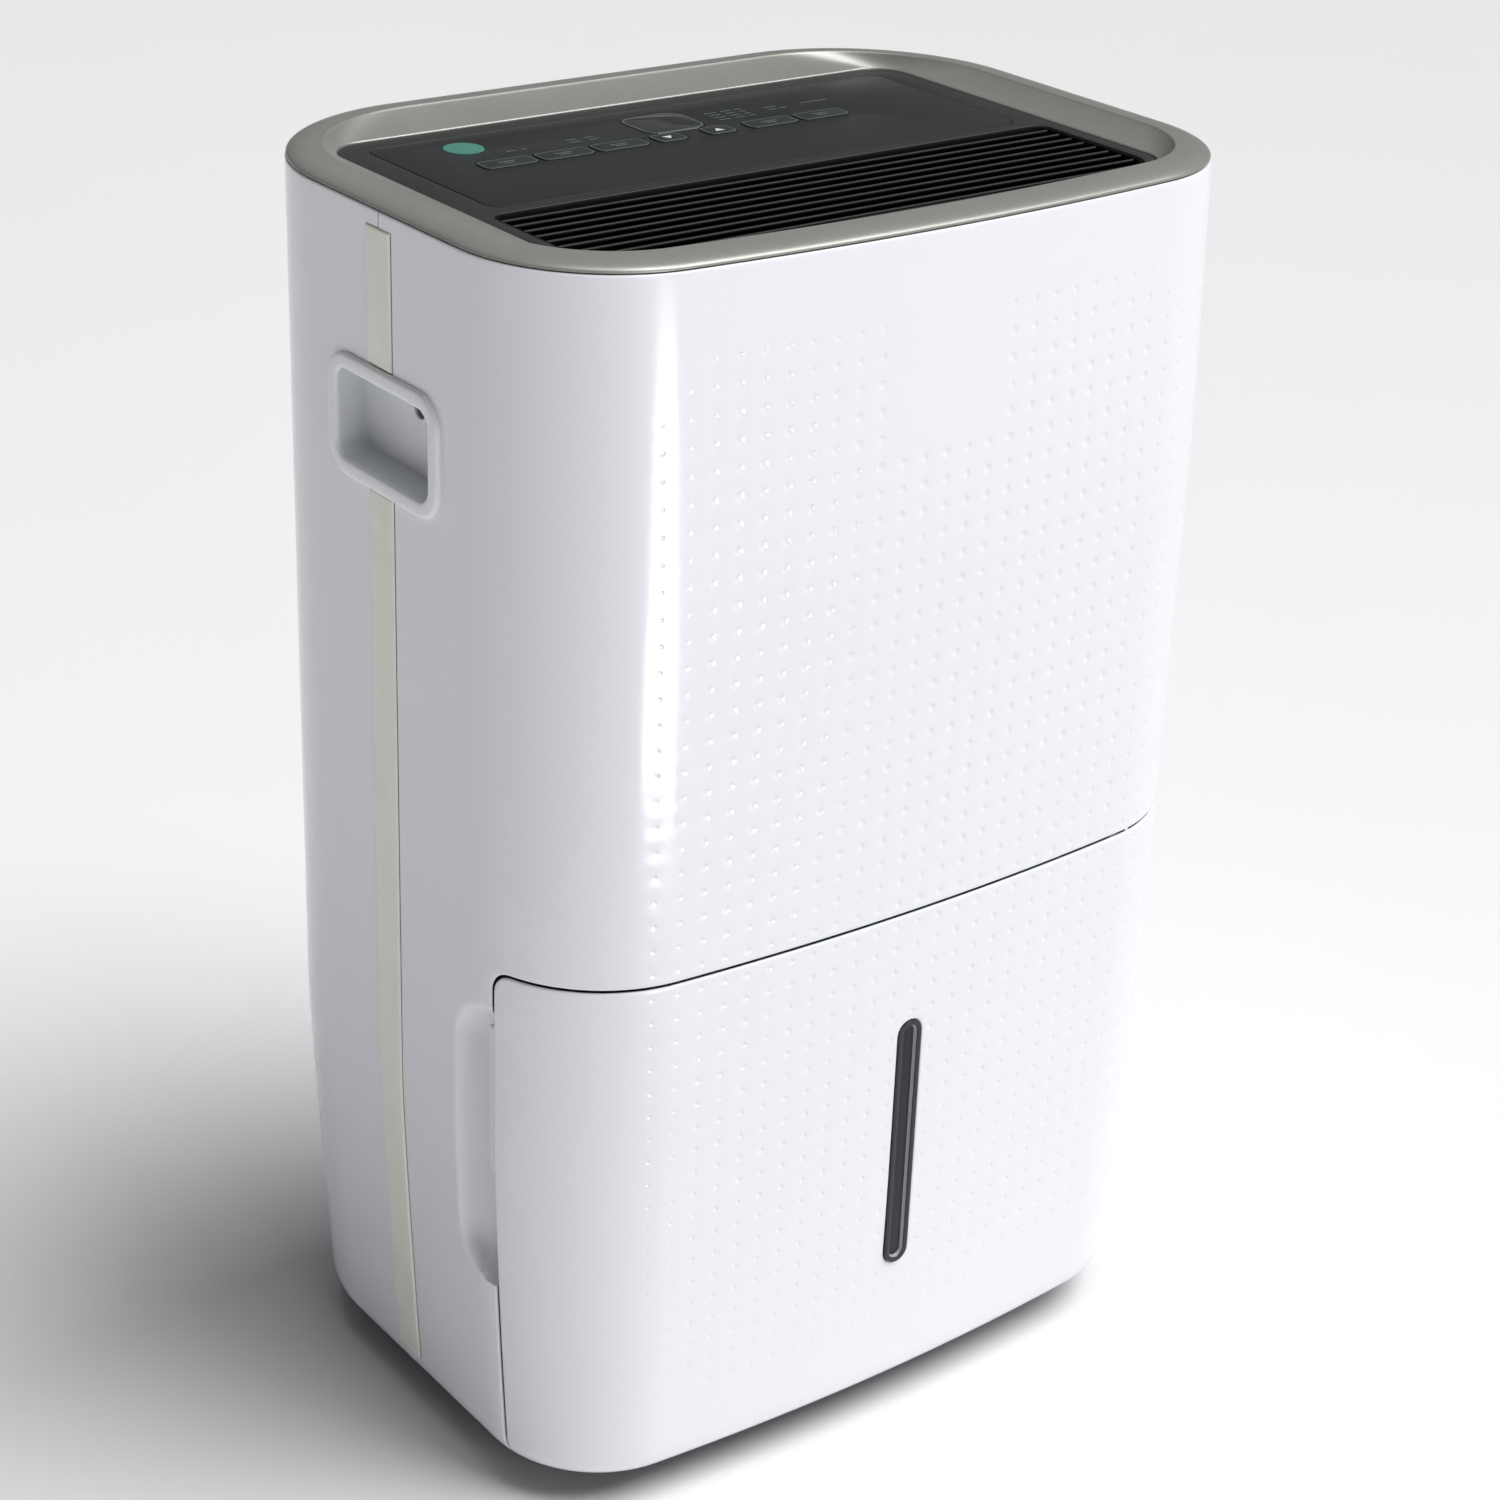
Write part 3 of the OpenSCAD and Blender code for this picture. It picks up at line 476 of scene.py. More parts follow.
def has_dent(col, row):
    inner = min(col, 26 - col)
    if inner < 3 and not 3 - inner <= row <= 39 + inner:
        return False
    if 11 <= col <= 15 and row <= 4:
        return False
    return not (col == 13 and 29 <= row <= 39)


def add_dents(skin, rows, cell_of):
    """Works the dents of these rows into a skin. cell_of(col, row, x, z) gives the cell's box."""
    for row in rows:
        z = DENT_TOP_Z - DENT_PITCH * row
        for col in range(1, 26):
            if not has_dent(col, row):
                continue
            x = (col - 13) * DENT_PITCH
            r, h = dent_size(col, row, z)
            rings = [(1.14 * r, 0), (0.96 * r, 0.09 * h), (0.7 * r, 0.5 * h), (0.36 * r, 0.88 * h)]
            skin.feature(*cell_of(col, row, x, z), (x, z), (0, 0), rings, h)


def cell_rows(bounds):
    out = []
    for a, b in zip(bounds, bounds[1:]):
        out += [a + (b - a) * k / 4 for k in range(4)]
    return out + [bounds[-1]]


MIDDLE = [3.0 * k for k in range(-50, 51)]


def scoop_depth(y, z):
    """The hollow for the fingers beside the bucket's edge, with a softened rim."""
    past = np.clip(np.abs(z - 191) - 48.6, 0, None)
    d = np.sqrt(np.clip(900 - (y + 82) ** 2 - past**2, 0, None)) - 16
    return 0.5 * (d + np.sqrt(d * d + 0.5)) - 0.5 * (-16 + math.sqrt(256.5))


def make_front_cabinet():
    edge_u = float(u_at_y(BUCKET_Y + GAP, SEAM_EDGE_Z))
    r = 9 + GAP
    mid_u = edge_u - r

    def edge(z):
        if z <= SEAM_EDGE_Z:
            return float(u_at_y(BUCKET_Y + GAP, z))
        return mid_u + math.sqrt(max(0, r * r - (z - SEAM_EDGE_Z) ** 2))

    side_y = [-61, -60, -59, -58, -57, -56, -55, -54, -52, -50, -47, GRIP_HOLE[0], -38, -30, -22, -15,
              -10.9, -10.4, -10.0, -9.81, -9.79, -5, -1.2, -0.8, -0.55, -0.4, -0.35]

    def wing(z):
        e = edge(min(z, SEAM_EDGE_Z + r))
        out = [e, e + 0.12, e + 0.35, e + 0.7, e + 1.1]
        out += [e + 1.1 + (U2 - e - 1.1) * k / 14 for k in range(1, 15)]
        y60 = float(u_at_y(side_y[0], z))
        out += [U2 + (y60 - U2) * k / 7 for k in range(1, 7)]
        return out + [float(u_at_y(y, z)) for y in side_y]

    bends = [150 + (mid_u - 150) * k / 17 for k in range(1, 17)]
    mid = [-u for u in reversed(bends)] + MIDDLE + bends
    low = FOOT_ROWS[:-1] + [29.69, 29.71, 33, 37, 42, 48, 55, 63, 72, 82, 92, 100, 106, 110, 113, 115, 117,
                            119, 121, 123.5, 126, 129, 132, 135, 138, 141, 145, 152]
    low += [160 + 8 * k for k in range(10)] + [237, 241, 244, 247, 250, 253, 255.5, 258, 260, 262, 264, 266,
                                               268.5, 272]
    low += [SEAM_EDGE_Z + r * math.sin(math.radians(7.5 * k)) for k in range(12)]
    seam = SEAM_EDGE_Z + r
    first_cell = 288.2
    cells = [first_cell] + [298.2 + DENT_PITCH * k for k in range(24)]
    high = [seam, seam + 0.12, seam + 0.35, seam + 0.7, seam + 1.1] + cell_rows(cells)
    high += [578, 583, 588, 593, 597, 599.29, 599.31, 601.5, 603.8, 605, 605.4, 605.75, 605.93, SEAM_Z]
    zs = low + high
    rows = []
    for z in zs:
        w = wing(z)
        rows.append([-u for u in reversed(w)] + mid + w)
    skin = Skin(zs, rows)
    n = len(wing(300))
    skin.gone[: len(low), n - 1 : n + len(mid)] = True

    for side in (-1, 1):
        u0, u1 = sorted(side * float(u_at_y(y, GRIP_HOLE[2])) for y in (GRIP_HOLE[0], -HALF_GAP))
        skin.leave_out(u0, u1, GRIP_HOLE[2], GRIP_HOLE[3])

    def cell_of(col, row, x, z):
        return x - 6, x + 6, max(z - 6, first_cell), z + 6

    add_dents(skin, range(24), cell_of)

    def depth_at(u, z):
        a = np.abs(u)
        y = on_skin(u, z, 0 * u)[..., 1]
        low_edge = np.vectorize(lambda v: edge(min(v, SEAM_EDGE_Z)))(z[:, 0])[:, None]
        from_edge = np.where(
            z < SEAM_EDGE_Z,
            a - low_edge,
            np.where(a > mid_u, np.hypot(a - mid_u, z - SEAM_EDGE_Z) - r, z - seam),
        )
        d = roll(from_edge, 1.1)
        d = np.maximum(d, roll(SEAM_Z - z, 1.0))
        in_strip = (z > STRIP_Z[0]) & (z < STRIP_Z[1]) & (a > U2)
        d = np.maximum(d, np.where(in_strip & (y > -9.8), 1.3, 0))
        d = np.maximum(d, np.where(in_strip, roll(-9.8 - y, 0.8), 0) * (y < -9.8))
        d = np.maximum(d, np.where(a > U2, roll(-HALF_GAP - y, 0.7), 0))
        scoop = np.where((a > 150) & (y < -50) & (z < 275) & (z > 105), scoop_depth(y, z), 0)
        return np.maximum(d, scoop)

    verts, faces = skin.mesh(depth_at)
    return piece("front_shell", verts, faces, SHELL, "cabinet", ["front_cabinet"],
                 thick=SHELL_WALL)


def make_bucket_front():
    r = 9.0
    mid_u = float(u_at_y(BUCKET_Y, SEAM_EDGE_Z)) - r
    steps = [0.2, 0.4, 0.6, 0.75, 0.87, 0.92, 0.96, 0.985, 1]

    def half(z):
        if z <= SEAM_EDGE_Z:
            return float(u_at_y(BUCKET_Y, z)) - mid_u
        return math.sqrt(max(0, r * r - (z - SEAM_EDGE_Z) ** 2))

    bends = [150 + (mid_u - 150) * k / 17 for k in range(1, 18)]
    cells = [58.2 + DENT_PITCH * k for k in range(19)] + [283.2]
    zs = FOOT_ROWS + [34, 39, 45, 51.5] + cell_rows(cells) + [283.9, 284.3, 284.65, 284.88, BUCKET_Z]
    zs = [90.4 if abs(z - 91.2) < 0.01 else z for z in zs]
    rows = []
    for z in zs:
        w = bends + [mid_u + half(z) * s for s in steps]
        rows.append([-u for u in reversed(w)] + MIDDLE + w)
    skin = Skin(zs, rows)

    def cell_of(col, row, x, z):
        x0, x1, z0, z1 = x - 6, x + 6, z - 6, min(z + 6, 283.2)
        if 28 <= row <= 40:
            x0 = 9 if col == 14 else x0
            x1 = -9 if col == 12 else x1
            z0 = 229.2 if (col, row) == (13, 28) else z0
            z1 = 90.4 if (col, row) == (13, 40) else z1
        return x0, x1, z0, z1

    add_dents(skin, range(24, 43), cell_of)
    skin.feature(-9, 9, 90.4, 229.2, (0, WINDOW_Z), (0, WINDOW_HALF),
                 [(8.0, 0), (7.6, 0.12), (7.25, 0.45), (7.1, 1.0)], None)

    def depth_at(u, z):
        a = np.abs(u)
        line = np.array([mid_u + half(min(v, SEAM_EDGE_Z)) for v in z[:, 0]])[:, None]
        from_edge = np.where(
            z < SEAM_EDGE_Z,
            line - a,
            np.where(a > mid_u, r - np.hypot(a - mid_u, z - SEAM_EDGE_Z), BUCKET_Z - z),
        )
        return roll(from_edge, 1.1)

    verts, faces = skin.mesh(depth_at)
    return piece("bucket_face", verts, faces, SHELL, "bucket", ["bucket_front"],
                 thick=SHELL_WALL)


def make_rear_cabinet():
    side_y = [0.35, 0.4, 0.55, 0.8, 1.2, 5, 9.79, 9.81, 10.0, 10.4, 10.9, 16, 23, 30, GRIP_HOLE[1], 44, 49]
    corner = [U3 + (U4 - U3) * k / 34 for k in range(35)]
    back_x = [101.2, 100.6, 100.2, 100.05, 100, 97, 92.5, 88, 83.5, 79, 74.5, 70, 65.5, 61, 56.5, 52, 47.5,
              43, 42, 38, 34, 30, 26, 22, 18, 14, 10, 6, 2]
    back = [U5 - x for x in back_x]
    zs = FOOT_ROWS[:-1] + [29.69, 29.71, 34, 40, 46, 52, 58, 64.5, 69, 73.5, 78, 82.5, 87, 91.5, 98, 106,
                           114, 121]
    for k in range(7):
        zs += [127.25 + 12 * k + s for s in (0, 2.5, 5, 7.5, 10)]
    zs += [218, 228, 238, 248, 258, 266] + [273 + 4.5 * k for k in range(13)]
    zs += [331, 335, 337.2, 337.6, 337.85, 338] + [350 + 12 * k for k in range(12)]
    zs += [GRIP_HOLE[2], 494, 506, 518, 526, GRIP_HOLE[3], 544, 556, 567, 576, 576.15, 576.4, 576.8, 582,
           590, 596, 599.29, 599.31, 601.5, 603.8, 605, 605.4, 605.75, 605.93, SEAM_Z]
    rows = []
    for z in zs:
        half = [float(u_at_y(y, z)) for y in side_y] + corner + back
        rows.append(half + [U5] + [2 * U5 - u for u in reversed(half)])
    skin = Skin(zs, rows)
    skin.leave_out(U5 - 100, U5 + 100, 338, 576)
    edge_in, edge_out = (float(u_at_y(y, GRIP_HOLE[2])) for y in (HALF_GAP, GRIP_HOLE[1]))
    skin.leave_out(edge_in, edge_out, GRIP_HOLE[2], GRIP_HOLE[3])
    skin.leave_out(2 * U5 - edge_out, 2 * U5 - edge_in, GRIP_HOLE[2], GRIP_HOLE[3])
    skin.feature(U5 + 43, U5 + 97, 273, 327, (U5 + 70, 300), (0, 0), [(25.4, 0), (24.7, 0.25), (24.2, 1)],
                 None)
    skin.feature(U5 - 92.5, U5 - 65.5, 64.5, 91.5, (U5 - 78, 78), (0, 0), [(10, 0), (9.4, 0.2), (9, 0.8)],
                 None)
    for k in range(7):
        for s in (-1, 1):
            z = 127.25 + 12 * k
            x0, x1 = sorted((U5 + s * 2, U5 + s * 42))
            skin.feature(x0, x1, z, z + 10, (U5 + s * 22, z + 5), (15.7, 0),
                         [(3.1, 0), (2.5, 0.2), (2.25, 0.8)], None)

    def depth_at(u, z):
        y = on_skin(u, z, 0 * u)[..., 1]
        on_side = (u < U3) | (u > 2 * U5 - U3)
        in_strip = (z > STRIP_Z[0]) & (z < STRIP_Z[1]) & on_side
        d = roll(SEAM_Z - z, 1.0)
        d = np.maximum(d, np.where(in_strip & (y < 9.8), 1.3, 0))
        d = np.maximum(d, np.where(in_strip, roll(y - 9.8, 0.8), 0) * (y > 9.8))
        d = np.maximum(d, np.where(on_side, roll(y - HALF_GAP, 0.7), 0))
        out_x = np.clip(np.abs(u - U5) - 100, 0, None)
        out_z = np.clip(np.abs(z - 457) - 119, 0, None)
        return np.maximum(d, roll(np.hypot(out_x, out_z), 0.9))

    verts, faces = skin.mesh(depth_at)
    return piece("rear_shell", verts, faces, SHELL, "cabinet", ["rear_cabinet"],
                 thick=SHELL_WALL)


def make_strips():
    """The soft trim between the two halves of the cabinet, broken by the grip."""
    ys = [-9.5, -9.42, -9.2, -8.85, -8.4, -5, -1, -0.45, -0.2, 0.2, 0.45, 1, 5, 8.4, 8.85, 9.2, 9.42, 9.5]
    for side, name in ((-1, "l"), (1, "r")):
        heap = Heap()
        for z0, z1 in ((30, 481.4), (538.6, 599)):
            zs = [z0, z0 + 0.1, z0 + 0.35, z0 + 0.7, z0 + 1.1]
            zs += [z for z in (34, 38, 43, 50, 58, 68, 80, 95, 110, 130, 150, 170, 190, 240, 300, 360, 420,
                               560)
                   if z0 + 2 < z < z1 - 2]
            zs += [z1 - 1.1, z1 - 0.7, z1 - 0.35, z1 - 0.1, z1]
            skin = Skin(zs,
                        [[float(u_at_y(y, z)) * side for y in (ys if side > 0 else ys[::-1])] for z in zs])

            def depth_at(u, z):
                y = on_skin(u, z, 0 * u)[..., 1]
                d = roll(np.minimum(np.minimum(9.5 - np.abs(y), z - z0), z1 - z), 1.0)
                return d - 0.8 + np.where(np.abs(y) < 0.3, 0.14, 0)

            heap.add(*skin.mesh(depth_at))
        piece(f"strip_{name}", heap.verts, heap.faces, STRIP, "cabinet", [f"trim_strip_{name}"],
              thick=1.7)


# ---- top ----

OPEN_HALF_W, OPEN_FRONT, OPEN_BACK, OPEN_R = 161.0, -110.0, 106.0, 20.0
DECK_Z = 603.5


def opening_loop(grow, counts=(12, 14, 8, 14, 10)):
    """The opening that holds the deck, with as many points on each stretch as counts says."""
    cy = OPEN_FRONT + BOW
    cx = OPEN_HALF_W - OPEN_R
    corner_y = cy - math.sqrt((BOW - OPEN_R) ** 2 - cx**2)
    turn = math.asin(cx / (BOW - OPEN_R))
    half = []
    for k in range(counts[0]):
        t = turn * k / counts[0]
        half.append(((BOW + grow) * math.sin(t), cy - (BOW + grow) * math.cos(t)))
    for k in range(counts[1]):
        t = -math.pi / 2 + turn + (math.pi / 2 - turn) * k / counts[1]
        half.append((cx + (OPEN_R + grow) * math.cos(t), corner_y + (OPEN_R + grow) * math.sin(t)))
    for k in range(counts[2]):
        half.append((OPEN_HALF_W + grow, corner_y + (OPEN_BACK - OPEN_R - corner_y) * k / counts[2]))
    for k in range(counts[3]):
        t = math.pi / 2 * k / counts[3]
        half.append((cx + (OPEN_R + grow) * math.cos(t),
                     OPEN_BACK - OPEN_R + (OPEN_R + grow) * math.sin(t)))
    for k in range(counts[4]):
        half.append((cx * (1 - k / counts[4]), OPEN_BACK + grow))
    return half + [(0, OPEN_BACK + grow)] + [(-x, y) for x, y in reversed(half[1:])]


def outline_loop(i, counts=(12, 14, 8, 14, 10)):
    """The cabinet's outline at the top, with the same points on each stretch as opening_loop."""
    stops = (0, U1, U2, U3, U4, U5)
    half = []
    for start, stop, count in zip(stops, stops[1:], counts):
        half += [start + (stop - start) * k / count for k in range(count)]
    u = np.array(half + [U5] + [-v for v in reversed(half[1:])])
    x, y, _, _ = plan(u, np.full(len(u), float(i)), np.full(len(u), 5.5))
    return list(zip(x, y))


def make_top_ring():
    counts = (24, 22, 12, 26, 16)
    crest = outline_loop(17.2, counts)
    hole = opening_loop(0.2, counts)

    def between(s, z):
        return [(a[0] + (b[0] - a[0]) * s, a[1] + (b[1] - a[1]) * s, z) for a, b in zip(crest, hole)]

    def round_at(i, z):
        return [(x, y, z) for x, y in outline_loop(i, counts)]

    loops = [round_at(3.4, 598), round_at(3.4, 606.2), round_at(1.3, 606.35), round_at(0.8, 606.5),
             round_at(0.45, 606.8)]
    for k in range(1, 13):
        a = math.radians(90 * k / 12)
        loops.append(round_at(0.3 + 14.6 * (1 - math.cos(a)) ** 0.95, 606.8 + 4.0 * math.sin(a)))
    loops += [round_at(15.9, 610.95), round_at(16.5, 611.0), round_at(16.9, 610.85)]
    loops += [between(s, z) for s, z in ((0, 610.55), (0.06, 610.0), (0.16, 609.2), (0.35, 607.75),
                                         (0.6, 606.1), (0.8, 604.95), (0.92, 604.35), (0.965, 604.1),
                                         (0.99, 603.8), (1, 603.4), (1, 599.5), (0.86, 599.5), (0.2, 602.5),
                                         (0.05, 602.5))]
    loops.append(round_at(5.8, 604.0))
    loops.append(round_at(5.8, 598))
    verts, faces = strung(loops + [loops[0]])
    piece("top_trim", verts, faces, RING, "cabinet", ["top_ring"], angle=50)


def plate(name, loops, top, thick, bevel, mat, body, stands_for=()):
    """A flat moulded plate with a rounded rim. The first loop is its outside and the others are its holes."""
    curve = bpy.data.curves.new(name, "CURVE")
    curve.dimensions = "2D"
    curve.fill_mode = "BOTH"
    curve.extrude = (thick / 2 - bevel) * MM
    curve.bevel_depth = bevel * MM
    curve.bevel_resolution = 2
    curve.offset = -bevel * MM
    for loop in loops:
        s = curve.splines.new("POLY")
        s.points.add(len(loop) - 1)
        s.use_cyclic_u = True
        for point, (x, y) in zip(s.points, loop):
            point.co = (x * MM, y * MM, 0, 1)
    obj = bpy.data.objects.new(name, curve)
    scene.collection.objects.link(obj)
    obj = settle(obj)
    obj.data.transform(Matrix.Translation((0, 0, (top - thick / 2) * MM)))
    finish_mesh(obj.data, 20)
    return put(obj, mat, body, stands_for)


def moved(loop, x, y):
    return [(a + x, b + y) for a, b in loop]


# front, back and half width of the louvre and of the film
LOUVRE = (-100.0, -20.0, 154.0)
LOUVRE_FRONT_R, LOUVRE_BACK_R = 16.0, 7.0
FILM_BOX = (-13.0, 94.0, 146.0)
KEY_X = (-102, -72, -42, -15, 13, 43, 73)
KEY_Y = 45.0
# centre in X and Y, then width and depth, or radius
DISPLAY = (-2.0, 68.0, 34.0, 30.0)
DISC = (-106.0, 75.0, 9.5)


def key_width(k):
    return 16 if k in (3, 4) else 28


def film_loop(grow):
    return moved(rounded_loop(2 * (FILM_BOX[2] + grow), FILM_BOX[1] - FILM_BOX[0] + 2 * grow, 8 + grow, 10),
                 0, (FILM_BOX[0] + FILM_BOX[1]) / 2)


def louvre_loop(grow):
    front, back, half = LOUVRE[0] - grow, LOUVRE[1] + grow, LOUVRE[2] + grow
    right = []
    for r, y, first in ((LOUVRE_FRONT_R + grow, front, -90), (LOUVRE_BACK_R + grow, back, 0)):
        cy = y + r if first else y - r
        turns = [math.radians(first + 90 * k / 10) for k in range(11)]
        right += [(half - r + r * math.cos(a), cy + r * math.sin(a)) for a in turns]
    return right + [(-x, y) for x, y in reversed(right)]


def louvre_half(y):
    """Half the width of the space between the louvre's frame at this y."""
    r = LOUVRE_FRONT_R
    short = max(0, LOUVRE[0] + r - y)
    return LOUVRE[2] - 1.6 - r + math.sqrt(r * r - min(short, r) ** 2)


def make_top():
    plate("deck_plate", [opening_loop(-0.25), louvre_loop(0), film_loop(0.35)], DECK_Z, 3, 0.45, DECK,
          "cabinet", ["top_deck"])
    holes = [moved(ring_loop(DISC[2] + 0.25, 64), DISC[0], DISC[1]),
             moved(rounded_loop(DISPLAY[2] + 0.5, DISPLAY[3] + 0.5, 8.2, 10), DISPLAY[0], DISPLAY[1])]
    for k, x in enumerate(KEY_X):
        holes.append(moved(rounded_loop(key_width(k) + 0.7, 12.7, 3.3), x, KEY_Y))
    plate("film_plate", [film_loop(0)] + holes, DECK_Z + 0.05, 2.6, 0.22, FILM, "cabinet",
          ["control_film"])
    plate("display_lens", [moved(rounded_loop(DISPLAY[2], DISPLAY[3], 8, 10), DISPLAY[0], DISPLAY[1])],
          DECK_Z + 0.2, 3, 0.3, GLASS, "cabinet", ["display_window"])
    edge = []
    for d in (1.4, 3):
        edge.append(moved(rounded_loop(DISPLAY[2] - d, DISPLAY[3] - d, 8 - d / 2, 10), *DISPLAY[:2]))
    plate("display_line", edge, DECK_Z + 0.26, 0.12, 0.03, INK, "cabinet")

    heap = Heap()
    dome = [(9.2, 600.6), (9.5, 600.9), (9.5, 603.3), (9.35, 603.62), (9.0, 603.78), (7, 603.74),
            (6.4, 603.6), (6.0, 603.74), (3, 603.82), (0.4, 603.84)]
    heap.loops([[(DISC[0] + x, DISC[1] + y, z) for x, y in ring_loop(r)] for r, z in dome], cap_first=True,
               cap_last=True)
    piece("power_key", heap.verts, heap.faces, TEAL, "cabinet", ["power_disc"])

    for k, x in enumerate(KEY_X):
        w, body = key_width(k), f"key_cap_{k + 1}"
        plate(f"key_face_{k + 1}", [moved(rounded_loop(w, 12, 3), x, KEY_Y)], DECK_Z + 0.5, 3.6, 0.35, KEY,
              body, [f"key_{k + 1}"])
        lines = [moved(rounded_loop(w - d, 12 - d, 3 - d / 2), x, KEY_Y) for d in (1.1, 2.1)]
        plate(f"key_line_{k + 1}", lines, DECK_Z + 0.54, 0.1, 0.02, INK, body)
        if k in (3, 4):
            s = 1 if k == 4 else -1
            mark = [(-2.6, -1.8 * s), (2.6, -1.8 * s), (0, 2.2 * s)][::s]
            plate(f"key_mark_{k + 1}", [moved(mark, x, KEY_Y)], DECK_Z + 0.55, 0.1, 0.02, INK_LIGHT, body)
        else:
            heap = Heap()
            for dx, dy, mw in ((0, 1.1, 9), (0, -1.3, 6)):
                flat = moved(rounded_loop(mw, 1.0, 0.45, 3), x + dx, KEY_Y + dy)
                heap.loops([[(a, b, DECK_Z + h) for a, b in flat] for h in (0.47, 0.54)], cap_first=True,
                           cap_last=True)
            piece(f"key_mark_{k + 1}", heap.verts, heap.faces, INK, body)

    heap = Heap()
    marks = [(-90, 61, 5), (-83, 61, 3), (-56, 60, 6), (-56, 64, 6), (-46, 60, 5), (-46, 64, 5),
             (86, 67, 16), (59, 64, 5), (65, 64, 4), (60, 68, 7)]
    marks += [(x, 60 + 4 * row, w) for row in range(4) for x, w in ((28, 7), (37, 6), (44, 4))]
    for x, y, w in marks:
        flat = moved(rounded_loop(w, 0.9, 0.4, 3), x, y)
        heap.loops([[(a, b, DECK_Z + h) for a, b in flat] for h in (-0.02, 0.12)], cap_first=True,
                   cap_last=True)
    piece("film_marks", heap.verts, heap.faces, INK, "cabinet")


def make_louvres():
    heap = Heap()
    frame_loops = []
    for grow, z in ((-0.35, 595.4), (-0.35, 602.6), (-0.6, 603.0), (-1.2, 603.1), (-1.8, 602.9),
                    (-2.0, 602.4), (-2.0, 595.4), (-0.35, 595.4)):
        frame_loops.append([(x, y, z) for x, y in louvre_loop(grow)])
    heap.loops(frame_loops)
    pitch = (LOUVRE[1] - LOUVRE[0]) / 9.5
    tilt = math.radians(-38)
    for k in range(1, 10):
        y0, z0 = LOUVRE[0] + k * pitch, DECK_Z - 4.2
        end = louvre_half(y0 - 3)
        section = [(y0 + a * math.cos(tilt) + b * math.sin(tilt),
                    z0 + b * math.cos(tilt) - a * math.sin(tilt))
                   for a, b in rounded_loop(1.6, 7.0, 0.7, 5)]
        loops = [[(x, y, z) for y, z in section] for x in (-end, -100, 0, 100, end)]
        heap.loops(loops, cap_first=True, cap_last=True)
        top_y, top_z = y0 + 3.0 * math.sin(tilt), z0 + 3.0 * math.cos(tilt)
        # A bead along the blade's top edge, in the grey of the painted sheen.
        bead = moved(ring_loop(0.8, 12), top_y, top_z)
        heap.loops([[(x, y, z) for y, z in bead] for x in (-end, 0, end)], mark=1, cap_first=True,
                   cap_last=True)
    for x in (-75, 0, 75):
        bar = [(x + a, b) for a, b in rounded_loop(1.8, 2.4, 0.7, 4)]
        heap.loops([[(a, y, 595.6 + b) for a, b in bar] for y in (LOUVRE[1] - 2, LOUVRE[0] + 2)],
                   cap_first=True, cap_last=True)
    piece("louvre_blades", heap.verts, heap.faces, [BLACK, LOUVRE_SHEEN], "cabinet",
          ["louvre_grille"], marks=heap.marks)


# ---- grips, window and the smaller pieces ----

# centre in Y and Z, width and height
GRIP = (-3.0, 510.0, 75.0, 41.0)
GRIP_SCREW_Y = -11.0
GRIP_INSIDE_X = 195.3


def make_grips():
    heap_screw, heap_boss = Heap(), Heap()
    for side, name in ((-1, "l"), (1, "r")):
        gy, gz, w, h = GRIP

        def lay(loop, x):
            return [(side * x, gy + side * a, gz + b) for a, b in loop]

        steps = [(14.8, 15.4, 194.0), (14.8, 15.6, 196.0), (14.5, 15.5, 196.6), (13.8, 15.2, 197.05),
                 (12.6, 14.7, 197.35), (11, 14, 197.5), (6, 12, 197.5), (2.6, 8.9, 197.4),
                 (1.4, 8.2, 197.2), (0.6, 7.8, 196.8), (0.2, 7.6, 196.3), (0, 7.5, 195.4), (0, 7.2, 195.2),
                 (-0.4, 6.5, 190), (-0.9, 5.4, 182.6), (-1.1, 5.2, 181.8), (-1.6, 4.9, 181.3),
                 (-2.6, 4.4, 181.0), (-26, 3, 181.0)]
        # Faces inside the cup take the darker white of the painted shade.
        marks = [0 if x > GRIP_INSIDE_X else 1 for _, _, x in steps]
        loops = [lay(rounded_loop(w + g, h + g, r, 10), x) for g, r, x in steps]
        heap = Heap()
        for a, b, mark in zip(loops, loops[1:], marks[1:]):
            heap.loops([a, b], mark=mark)
        heap.loops([loops[-1]], mark=1, cap_last=True)
        piece(f"grip_cup_{name}", heap.verts, heap.faces, [CUP, CUP_SHADED], "cabinet",
              [f"handle_cup_{name}"], thick=1.8, angle=55, marks=heap.marks)
        sy, sz = GRIP_SCREW_Y, gz + h / 2 - 9
        for lathe, heap in (
            ([(7.6, 180.6), (7.3, 181.9), (6.8, 182.3), (5.2, 182.4), (4.9, 182.2), (4.8, 181.6),
              (4.7, 181.15)],
             heap_boss),
            ([(4.65, 181.05), (4.6, 181.3), (2.6, 181.9), (1.4, 181.9), (0.9, 181.3), (0.3, 181.2)],
             heap_screw),
        ):
            heap.loops([[(side * x, sy + side * a, sz + b) for a, b in ring_loop(r, 32)] for r, x in lathe],
                       cap_first=True, cap_last=True)
    # The bosses inside the cup carry the same painted shade.
    piece("grip_bosses", heap_boss.verts, heap_boss.faces, CUP_SHADED, "cabinet", angle=50)
    piece("grip_screws", heap_screw.verts, heap_screw.faces, DARK_STEEL, "cabinet",
          ["handle_screws"])


def stadium(half, r, n=12):
    """A slot's outline in X and Z, anticlockwise seen from the front."""
    out = []
    for k in range(n + 1):
        a = math.pi * k / n
        out.append((r * math.cos(a), half + r * math.sin(a)))
    for k in range(n + 1):
        a = math.pi + math.pi * k / n
        out.append((r * math.cos(a), -half + r * math.sin(a)))
    return out


